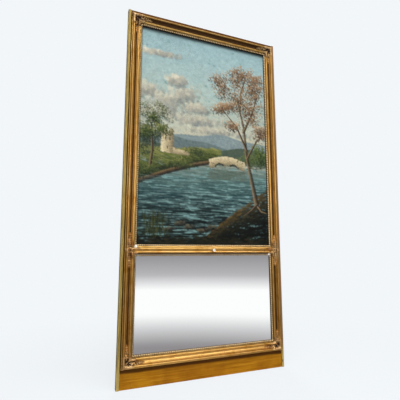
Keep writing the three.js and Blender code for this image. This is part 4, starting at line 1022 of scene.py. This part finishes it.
def oil_on_linen():
    """Oil paint in brushed ridges 1 to 3 mm apart, cracks 6 to 12 mm apart and aged varnish in
    front; bare brown linen, 14 threads to the centimetre, on the turned edge and behind."""
    made, tree, place = material("oil_on_linen")
    paint = add(tree, "Attribute", attribute_name="paint")
    brushed = add(tree, "Mapping", {"Vector": place, "Scale": (420, 420, 950)})
    ridges = add(
        tree, "TexNoise",
        {"Vector": brushed, "Scale": 1.0, "Detail": 4.0, "Roughness": 0.6, "Distortion": 0.8},
    )
    streaks = add(
        tree, "ValToRGB", {"Fac": ridges}, ramp=[(0.3, "#c4c4c4"), (0.5, "#ededed"), (0.7, "#ffffff")]
    )
    varied = add(
        tree, "MixRGB", {"Fac": 0.8, "Color1": paint.outputs["Color"], "Color2": streaks},
        blend_type="MULTIPLY",
    )
    cells = add(tree, "TexVoronoi", {"Vector": place, "Scale": 110.0}, feature="DISTANCE_TO_EDGE")
    patches = add(tree, "TexNoise", {"Vector": place, "Scale": 5.0, "Detail": 2.0})
    crack_width = add(
        tree, "MapRange", {"Value": patches, "From Min": 0.45, "From Max": 0.65, "To Max": 0.03}
    )
    crack = add(tree, "Math", {0: cells, 1: crack_width}, operation="LESS_THAN")
    faint = add(tree, "Math", {0: crack, 1: 0.35}, operation="MULTIPLY")
    cracked = add(tree, "MixRGB", {"Fac": faint, "Color1": varied, "Color2": "#2a2118"})
    thread = {"Vector": place, "Scale": 220.0, "Distortion": 1.2, "Detail": 2.0}
    warp = add(tree, "TexWave", thread, bands_direction="X").outputs["Fac"]
    weft = add(tree, "TexWave", thread, bands_direction="Z").outputs["Fac"]
    threads = add(tree, "Math", {0: warp, 1: weft}, operation="MAXIMUM")
    linen = add(
        tree, "ValToRGB", {"Fac": threads}, ramp=[(0.2, "#6f5a3c"), (0.6, "#a18a62"), (1.0, "#b7a27c")]
    )
    blotches = add(tree, "TexNoise", {"Vector": place, "Scale": 9.0, "Detail": 6.0, "Roughness": 0.7})
    stains = add(
        tree, "ValToRGB", {"Fac": blotches}, ramp=[(0.35, "#9c8468"), (0.55, "#f0e8dc"), (0.8, "#ffffff")]
    )
    linen = add(tree, "MixRGB", {"Fac": 0.4, "Color1": linen, "Color2": stains}, blend_type="MULTIPLY")
    colour = add(tree, "MixRGB", {"Fac": paint.outputs["Alpha"], "Color1": linen, "Color2": cracked})
    rough = add(tree, "MapRange", {"Value": paint.outputs["Alpha"], "To Min": 0.9, "To Max": 0.42})
    height = add(tree, "Math", {0: threads, 1: 0.35, 2: ridges}, operation="MULTIPLY_ADD")
    bump = add(tree, "Bump", {"Height": height, "Strength": 0.5, "Distance": 0.2 * MM})
    varnish = add(tree, "Math", {0: paint.outputs["Alpha"], 1: 0.04}, operation="MULTIPLY")
    shader = add(tree, "BsdfPrincipled", {
        "Base Color": colour, "Roughness": rough, "Normal": bump, "Coat Weight": varnish,
        "Coat Roughness": 0.22, "Specular IOR Level": 0.06,
    })
    add(tree, "OutputMaterial", {"Surface": shader})
    return made


canvas_points, canvas_faces, canvas_paint = painted_canvas()
painting = solid_piece(
    "painted_linen", canvas_points, canvas_faces, oil_on_linen(), "oil_canvas",
    replaced=["painting_canvas"], marks={"paint": canvas_paint},
)


# ---- Stretcher
# Four bare pine bars, 45 mm wide and 14.5 mm thick, mitred with two keys at each corner, and a
# cross bar tenoned into the uprights. The painting is tacked to its outer edges.

def bare_pine(name, along):
    """Sawn and planed pine, browned by age; its grain runs along X or Z."""
    made, tree, place = material(name)
    colour, grain = pine(tree, place, along)
    bump = add(tree, "Bump", {"Height": grain, "Strength": 0.4, "Distance": 0.3 * MM})
    shader = add(tree, "BsdfPrincipled", {
        "Base Color": colour, "Normal": bump, "Roughness": 0.78, "Specular IOR Level": 0.3,
    })
    add(tree, "OutputMaterial", {"Surface": shader})
    return made


UPRIGHT_PINE = bare_pine("bare_pine_upright_grain", "Z")
LEVEL_PINE = bare_pine("bare_pine_level_grain", "X")
for side in ("top", "left", "right", "bottom"):
    upright = side in ("left", "right")
    finish_node(f"stretcher_{side}", UPRIGHT_PINE if upright else LEVEL_PINE)
    for order in ("first", "second"):
        finish_node(f"stretcher_{side}_{order}_key", LEVEL_PINE if upright else UPRIGHT_PINE)
finish_node("stretcher_cross_bar", LEVEL_PINE)


# ---- Looking glass
# A pane of 4 mm plate glass silvered on its back, its arrises ground by 0.4 mm. The silvering has
# gone a little brown and speckled within 15 mm of the edges; brown paint protects the back.

PANE_LOW, PANE_HIGH = (-322.5, -8.7, 116.8), (322.5, -4.7, 512.0)
PANE_MIDDLE = (PANE_LOW[2] + PANE_HIGH[2]) / 2
PANE_HALF = (PANE_HIGH[2] - PANE_LOW[2]) / 2


def silvered_glass():
    """Bright mirror with a faint green cast, foxed near its edges and painted behind."""
    made, tree, place = material("silvered_plate_glass")
    where = add(tree, "SeparateXYZ", {0: place})
    aside = add(tree, "Math", {0: where.outputs["X"]}, operation="ABSOLUTE")
    to_side = add(tree, "Math", {0: PANE_HIGH[0] * MM, 1: aside}, operation="SUBTRACT")
    upward = add(tree, "Math", {0: where.outputs["Z"], 1: PANE_MIDDLE * MM}, operation="SUBTRACT")
    either_way = add(tree, "Math", {0: upward}, operation="ABSOLUTE")
    to_end = add(tree, "Math", {0: PANE_HALF * MM, 1: either_way}, operation="SUBTRACT")
    edge = add(tree, "Math", {0: to_side, 1: to_end}, operation="MINIMUM")
    near = add(
        tree, "MapRange",
        {"Value": edge, "From Min": 6 * MM, "From Max": 14 * MM, "To Min": 0.1, "To Max": -0.2},
    )
    spots = add(tree, "TexNoise", {"Vector": place, "Scale": 70.0, "Detail": 6.0, "Roughness": 0.7})
    fox = add(tree, "Math", {0: spots, 1: near}, operation="ADD")
    foxed = add(tree, "MapRange", {"Value": fox, "From Min": 0.62, "From Max": 0.8, "To Max": 0.75})
    silver = add(tree, "MixRGB", {"Fac": foxed, "Color1": "#fcfdfd", "Color2": "#5d5446"})
    back = (PANE_HIGH[1] - 0.5) * MM
    behind = add(tree, "Math", {0: where.outputs["Y"], 1: back}, operation="GREATER_THAN")
    brush = add(tree, "TexNoise", {"Vector": place, "Scale": 30.0, "Detail": 5.0})
    paint = add(tree, "ValToRGB", {"Fac": brush}, ramp=[(0.3, "#3d2a20"), (0.7, "#5c4030")])
    colour = add(tree, "MixRGB", {"Fac": behind, "Color1": silver, "Color2": paint})
    metal = add(tree, "Math", {0: 1.0, 1: behind}, operation="SUBTRACT")
    rough = add(tree, "MapRange", {"Value": behind, "To Min": 0.012, "To Max": 0.7})
    shader = add(tree, "BsdfPrincipled", {"Base Color": colour, "Metallic": metal, "Roughness": rough})
    add(tree, "OutputMaterial", {"Surface": shader})
    return made


def chamfered_block(low, high, arris):
    """Points and faces of a block with its arrises ground off, in rings along Y."""
    points = []
    for y, inset in ((low[1], arris), (low[1] + arris, 0), (high[1] - arris, 0), (high[1], arris)):
        (x0, z0), (x1, z1) = (low[0] + inset, low[2] + inset), (high[0] - inset, high[2] - inset)
        points += [
            (x0 + arris, y, z0), (x1 - arris, y, z0), (x1, y, z0 + arris), (x1, y, z1 - arris),
            (x1 - arris, y, z1), (x0 + arris, y, z1), (x0, y, z1 - arris), (x0, y, z0 + arris),
        ]
    return points, tube_faces(4, 8)


solid_piece(
    "silvered_pane", *chamfered_block(PANE_LOW, PANE_HIGH, 0.4), silvered_glass(), "silvered_glass",
    replaced=["mirror_glass"], crease=20,
)


# ---- Back planks
# Two bare pine planks, 13.4 mm thick and laid level, that press the pane against its strips.

for plank in ("lower_back_plank", "upper_back_plank"):
    finish_node(plank, LEVEL_PINE)


# ---- Turn buttons
# Six buttons of 2.5 mm brass, 35 mm long and dull with age, each turning on its screw. Two pairs
# hold the stretcher and one pair holds the planks.

def aged_metal(name, bright, dull, scratch_scale):
    """Unlacquered metal: bright where it is handled, dull brown film and fine scratches elsewhere."""
    made, tree, place = material(name)
    film = add(tree, "TexNoise", {"Vector": place, "Scale": 160.0, "Detail": 5.0, "Roughness": 0.65})
    scratches = add(tree, "Mapping", {"Vector": place, "Scale": scratch_scale})
    fine = add(tree, "TexNoise", {"Vector": scratches, "Scale": 1.0, "Detail": 3.0})
    colour = add(tree, "ValToRGB", {"Fac": film}, ramp=[(0.35, dull), (0.65, bright)])
    rough = add(
        tree, "MapRange", {"Value": film, "From Min": 0.3, "From Max": 0.7, "To Min": 0.5, "To Max": 0.3}
    )
    bump = add(tree, "Bump", {"Height": fine, "Strength": 0.3, "Distance": 0.05 * MM})
    shader = add(tree, "BsdfPrincipled", {
        "Base Color": colour, "Roughness": rough, "Normal": bump, "Metallic": 1.0,
    })
    add(tree, "OutputMaterial", {"Surface": shader})
    return made


AGED_BRASS = aged_metal("aged_brass", "#b8913f", "#6e5322", (3000, 3000, 500))
BLUED_STEEL = aged_metal("blued_steel", "#7d7f84", "#4a4744", (2500, 2500, 2500))

ROUND = 7.0  # half a button's width, and the radius of both its ends
INNER_REACH, OUTER_REACH, HOLE_RADIUS = 26.0, 9.0, 2.1  # from the screw's axis
SCREW_X = 334.0
BUTTON_SEAT, BUTTON_THICK = BACK + GAP, 2.5


def button_outline(inset, count=48):
    """The round-ended outline, inset, as points at even angles about the screw. Each way out is
    searched in steps of 0.01 mm for the last place inside."""
    angles = (np.arange(count) + 0.5) / count * 2 * math.pi
    ways = np.stack([np.cos(angles), np.sin(angles)], 1)
    reach = np.linspace(0, 30, 3001)[:, None, None]
    spots = reach * ways
    nearest = np.clip(spots[..., 0], ROUND - INNER_REACH, OUTER_REACH - ROUND)
    inside = np.hypot(spots[..., 0] - nearest, spots[..., 1]) <= ROUND - inset
    return ways * (inside.sum(0)[:, None] - 1) * 0.01


def turn_button(side, z):
    """Points and faces of a button with bevelled arrises and a round hole for its screw."""
    full, eased, flat_edge = (button_outline(inset) for inset in (0, 0.25, 0.6))
    ways = full / np.hypot(*full.T)[:, None]
    rings = [
        (HOLE_RADIUS * ways, 0.0), (eased, 0.0), (full, 0.25), (full, 1.8), (eased, 2.25),
        (flat_edge, 2.45), (0.6 * flat_edge + ways, BUTTON_THICK),
        ((HOLE_RADIUS + 0.4) * ways, BUTTON_THICK), (HOLE_RADIUS * ways, 2.3),
    ]
    points = np.concatenate([
        np.column_stack([
            side * (SCREW_X + ring[:, 0]), np.full(len(ring), BUTTON_SEAT + rise), z + ring[:, 1]
        ])
        for ring, rise in rings
    ])
    count, around = len(rings), len(ways)
    faces = [
        (r * around + i, r * around + (i + 1) % around,
         (r + 1) % count * around + (i + 1) % around, (r + 1) % count * around + i)
        for r in range(count) for i in range(around)
    ]
    return points, faces


LEVELS = {"lower": 725.288, "upper": 1363.112, "glass": PANE_MIDDLE}
TURN_BUTTONS = [
    (f"{side_name}_{level}", side, z)
    for side_name, side in (("left", -1), ("right", 1)) for level, z in LEVELS.items()
]
for where, side, z in TURN_BUTTONS:
    node = f"{where}_turn_button"
    solid_piece(
        f"{where}_brass_button", *turn_button(side, z), AGED_BRASS, "dull_brass", body=node,
        replaced=[node], crease=25,
    )


# ---- Button screws
# Slotted round-head screws of blued steel, 3.6 mm in the shank, driven into the stiles' backs.

def domed(r):
    """Height of a screw head, 8 mm across, above its seat at a distance from its centre."""
    return 2.2 - 0.5 * (r / 3.2) ** 2 - 1.3 * np.clip((r - 3.1) / 0.9, 0, 1) ** 2


HEAD_RADIUS = 4.0
HEAD_SEAT = BUTTON_SEAT + BUTTON_THICK + GAP
SLOT_FLOOR = 1.3


def slotted_screw(x, z, turn):
    """Points and faces of a head in rows beside its slot, and of a tapered shank."""
    rows = []
    beside = [(off, 9.0) for off in (0.5, 0.7, 1.5, 2.5, 3.3, 3.8, 3.97)]
    half_head = [(0.5, SLOT_FLOOR), *beside]
    for off, highest in [(-off, highest) for off, highest in half_head[::-1]] + half_head:
        line = math.sqrt(HEAD_RADIUS**2 - off**2) * np.sin(np.linspace(-math.pi / 2, math.pi / 2, 13))
        top = np.minimum(domed(np.hypot(line, off)), highest)
        rows += [(a, off, h) for a, h in zip(line, top)] + [(a, off, 0.0) for a in line[::-1]]
    head_faces = tube_faces(2 * len(half_head), 26)
    shank, shank_faces = turned([(0.7, -14.1), (1.1, -11.4), (1.8, -8.7), (1.8, 0.3)], 20)
    both = np.concatenate([np.array(rows), shank])
    c, s = math.cos(turn), math.sin(turn)
    spun = np.column_stack([both[:, 0] * c - both[:, 1] * s, both[:, 0] * s + both[:, 1] * c, both[:, 2]])
    faces = head_faces + [tuple(i + len(rows) for i in face) for face in shank_faces]
    return facing(spun, (x, HEAD_SEAT, z), 1), faces


for order, (where, side, z) in enumerate(TURN_BUTTONS):
    solid_piece(
        f"{where}_slotted_screw", *slotted_screw(side * SCREW_X, z, 0.5 + order * 1.1), BLUED_STEEL,
        "dull_steel", replaced=[f"{where}_button_screw"], crease=30,
    )


# ---- Screw eyes and hanging rings
# Two eyes of 3.2 mm brass wire, each bent into an open loop on a shank that is screwed into a
# stile's back, and a closed ring of 2.8 mm wire hanging in each.

def wire(path, normal, radius, closed, sides=16):
    """Points and faces of round wire along a flat path; radius is one for each point of it, and
    normal stands square to the path's plane."""
    ahead = np.roll(path, -1, 0) - np.roll(path, 1, 0)
    if not closed:
        ahead[0], ahead[-1] = path[1] - path[0], path[-1] - path[-2]
    ahead /= np.linalg.norm(ahead, axis=1)[:, None]
    aside = np.cross(ahead, normal)
    angles = np.arange(sides) / sides * 2 * math.pi
    points = np.concatenate([
        spot + r * (np.outer(np.cos(angles), out) + np.outer(np.sin(angles), normal))
        for spot, out, r in zip(path, aside, radius)
    ])
    faces = tube_faces(len(path), sides)
    if closed:
        last = (len(path) - 1) * sides
        faces = faces[:-2] + [
            (last + i, last + (i + 1) % sides, (i + 1) % sides, i) for i in range(sides)
        ]
    return points, faces


EYE = np.array([346.0, 17.4, 1450.0])  # the right eye's middle
EYE_RADIUS, RING_RADIUS, RING_DROP = 6.4, 14.0, 17.2
turns = np.radians(np.linspace(-58, 262, 48))
loop_path = np.column_stack([0 * turns, EYE[1] + EYE_RADIUS * np.sin(turns), EYE_RADIUS * np.cos(turns)])
shank_path = [(0, y, 0) for y in np.linspace(-3, 8.4, 39)]
bend_path = [(0, y, z) for y, z in curve((8.4, 0), (10.6, 0.2), loop_path[0][1:], 6)]
eye_path = np.concatenate([shank_path, bend_path[:-1], loop_path])
eye_wire = np.full(len(eye_path), 1.57)
eye_wire[: len(shank_path) - 1 : 3] -= 0.3  # the screw thread's grooves, 0.9 mm apart
eye_wire[:2] = (0.5, 1.0)
eye_wire[-1] = 1.0
ring_turns = np.arange(72) / 72 * 2 * math.pi
ring_path = RING_RADIUS * np.column_stack([np.sin(ring_turns), 0 * ring_turns, -np.cos(ring_turns)])
ring_wire = 1.4 - 0.2 * (np.arange(72) == 9)  # pinched where its ends are brazed
for side_name, side in (("left", -1), ("right", 1)):
    shank_foot = (side * EYE[0], 0, EYE[2])
    solid_piece(
        f"{side_name}_wire_eye", *wire(eye_path + shank_foot, (1, 0, 0), eye_wire, False), AGED_BRASS,
        "dull_brass", replaced=[f"{side_name}_screw_eye"], crease=50,
    )
    node = f"{side_name}_hanging_ring"
    ring_middle = (side * EYE[0], EYE[1], EYE[2] - RING_DROP)
    solid_piece(
        f"{side_name}_brass_ring", *wire(ring_path + ring_middle, (0, 1, 0), ring_wire, True), AGED_BRASS,
        "dull_brass", body=node, replaced=[node], crease=50,
    )


# ---- Stage
# A pale floor and backdrop, soft lamps above, in front and behind, and the camera low at the left.

camera_data = bpy.data.cameras.new("camera")
camera_data.lens = 30.35
camera_data.sensor_width = 36
camera = bpy.data.objects.new("camera", camera_data)
bpy.context.scene.collection.objects.link(camera)
YAW, PITCH = 0.3786, 0.1499
looking = Vector((math.sin(YAW) * math.cos(PITCH), math.cos(YAW) * math.cos(PITCH), math.sin(PITCH)))
camera.location = (-0.5893, -1.4006, 0.5262)
camera.rotation_euler = looking.to_track_quat("-Z", "Y").to_euler()
camera_data.clip_start, camera_data.clip_end = 0.05, 100
bpy.context.scene.camera = camera
bpy.context.scene.view_settings.view_transform = "Standard"

PAPER = "#f2f6f9"


def soft_lamp(name, place, target, width, height, power, shines=False):
    """A soft lamp that faces a point. Only one that shines shows in polished surfaces."""
    lamp = bpy.data.lights.new(name, "AREA")
    lamp.shape, lamp.size, lamp.size_y, lamp.energy = "RECTANGLE", width, height, power
    holder = bpy.data.objects.new(name, lamp)
    bpy.context.scene.collection.objects.link(holder)
    holder.location = place
    holder.rotation_euler = (Vector(target) - Vector(place)).to_track_quat("-Z", "Y").to_euler()
    holder.visible_glossy = shines


soft_lamp("overhead_lamp", (0.0, -1.3, 4.2), (0, -0.1, 0.8), 3.0, 1.6, 180)
soft_lamp("front_lamp", (-0.6, -3.4, 2.2), (0, 0, 0.6), 1.2, 1.2, 45)
soft_lamp("high_lamp", (0.2, -2.4, 3.1), (0, 0, 1.0), 0.8, 0.5, 8, shines=True)
soft_lamp("back_lamp", (0.9, 3.0, 2.3), (0, 0, 0.8), 1.6, 1.2, 70)
soft_lamp("level_lamp", (1.0, -2.5, 1.35), (0, 0, 0.5), 1.6, 0.5, 14, shines=True)


def paper_floor():
    """Pale paper: a faint shadow near the frame, then the backdrop's own even colour."""
    made, tree, place = material("pale_paper")
    away = add(tree, "VectorMath", {0: place}, operation="LENGTH").outputs["Value"]
    even = add(tree, "MapRange", {"Value": away, "From Min": 0.45, "From Max": 1.6, "To Min": 0.84})
    direct = add(tree, "LightPath").outputs["Is Camera Ray"]
    seen = add(tree, "Math", {0: direct, 1: even}, operation="MULTIPLY")
    paper = add(tree, "BsdfDiffuse", {"Color": "#c9cdd0"})
    glow = add(tree, "Emission", {"Color": PAPER})
    both = add(tree, "MixShader", {0: seen, 1: paper, 2: glow})
    add(tree, "OutputMaterial", {"Surface": both})
    return made


floor_mesh = bpy.data.meshes.new("floor")
floor_mesh.from_pydata([(-30, -30, 0), (30, -30, 0), (30, 30, 0), (-30, 30, 0)], [], [(0, 1, 2, 3)])
floor_mesh.materials.append(paper_floor())
floor = bpy.data.objects.new("floor", floor_mesh)
bpy.context.scene.collection.objects.link(floor)
floor.visible_glossy = False

world = bpy.data.worlds.new("studio")
bpy.context.scene.world = world
world.use_nodes = True
sky = world.node_tree
sky.nodes.clear()
direction = add(sky, "TexCoord").outputs["Generated"]
parts = add(sky, "SeparateXYZ", {0: direction})
level = add(sky, "MapRange", {"Value": parts.outputs["Z"], "From Min": -1.0})
# What polished things see: a room bright above and in front, browner at its sides and lower down,
# and a graded screen that faces the looking glass.
room = add(
    sky, "ValToRGB", {"Fac": level},
    ramp=[
        (0.0, "#d4d2ce"), (0.2, "#c2beb8"), (0.36, "#988e80"), (0.43, "#a4967e"), (0.5, "#ccc0ac"),
        (0.60, "#c8bca8"), (0.72, "#f0f0f0"), (0.85, "#ffffff"), (0.97, "#ffffff"), (1.0, "#d0d0d0"),
    ],
)
across = add(sky, "MapRange", {"Value": parts.outputs["X"], "From Min": -1.0})
walls = add(
    sky, "ValToRGB", {"Fac": across},
    ramp=[(0.08, "#7c705a"), (0.27, "#ffffff"), (0.62, "#ffffff"), (0.77, "#b09c78"), (0.86, "#6e5f46")],
)
room = add(sky, "MixRGB", {"Fac": 1.0, "Color1": room, "Color2": walls}, blend_type="MULTIPLY")
screen = add(
    sky, "ValToRGB", {"Fac": level},
    ramp=[
        (0.34, "#858284"), (0.373, "#939092"), (0.393, "#cfcfd0"), (0.412, "#ffffff"), (0.445, "#ffffff"),
        (0.466, "#b8b7ba"), (0.492, "#979597"),
    ],
)
towards = add(sky, "VectorMath", {0: direction, 1: (0.371, -0.918, -0.139)}, operation="DOT_PRODUCT")
facing_glass = add(sky, "MapRange", {"Value": towards.outputs["Value"], "From Min": 0.95, "From Max": 0.971})
reflected = add(sky, "MixRGB", {"Fac": facing_glass, "Color1": room, "Color2": screen})
path = add(sky, "LightPath")
glossy = add(sky, "Background", {"Color": reflected})
around = add(sky, "ValToRGB", {"Fac": level}, ramp=[(0.3, "#6a6560"), (0.5, "#7f8286"), (0.9, "#a9adb2")])
plain = add(sky, "Background", {"Color": around, "Strength": 0.55})
seen = add(sky, "Background", {"Color": PAPER})
lit = add(sky, "MixShader", {0: path.outputs["Is Glossy Ray"], 1: plain, 2: glossy})
final = add(sky, "MixShader", {0: path.outputs["Is Camera Ray"], 1: lit, 2: seen})
add(sky, "OutputWorld", {"Surface": final})
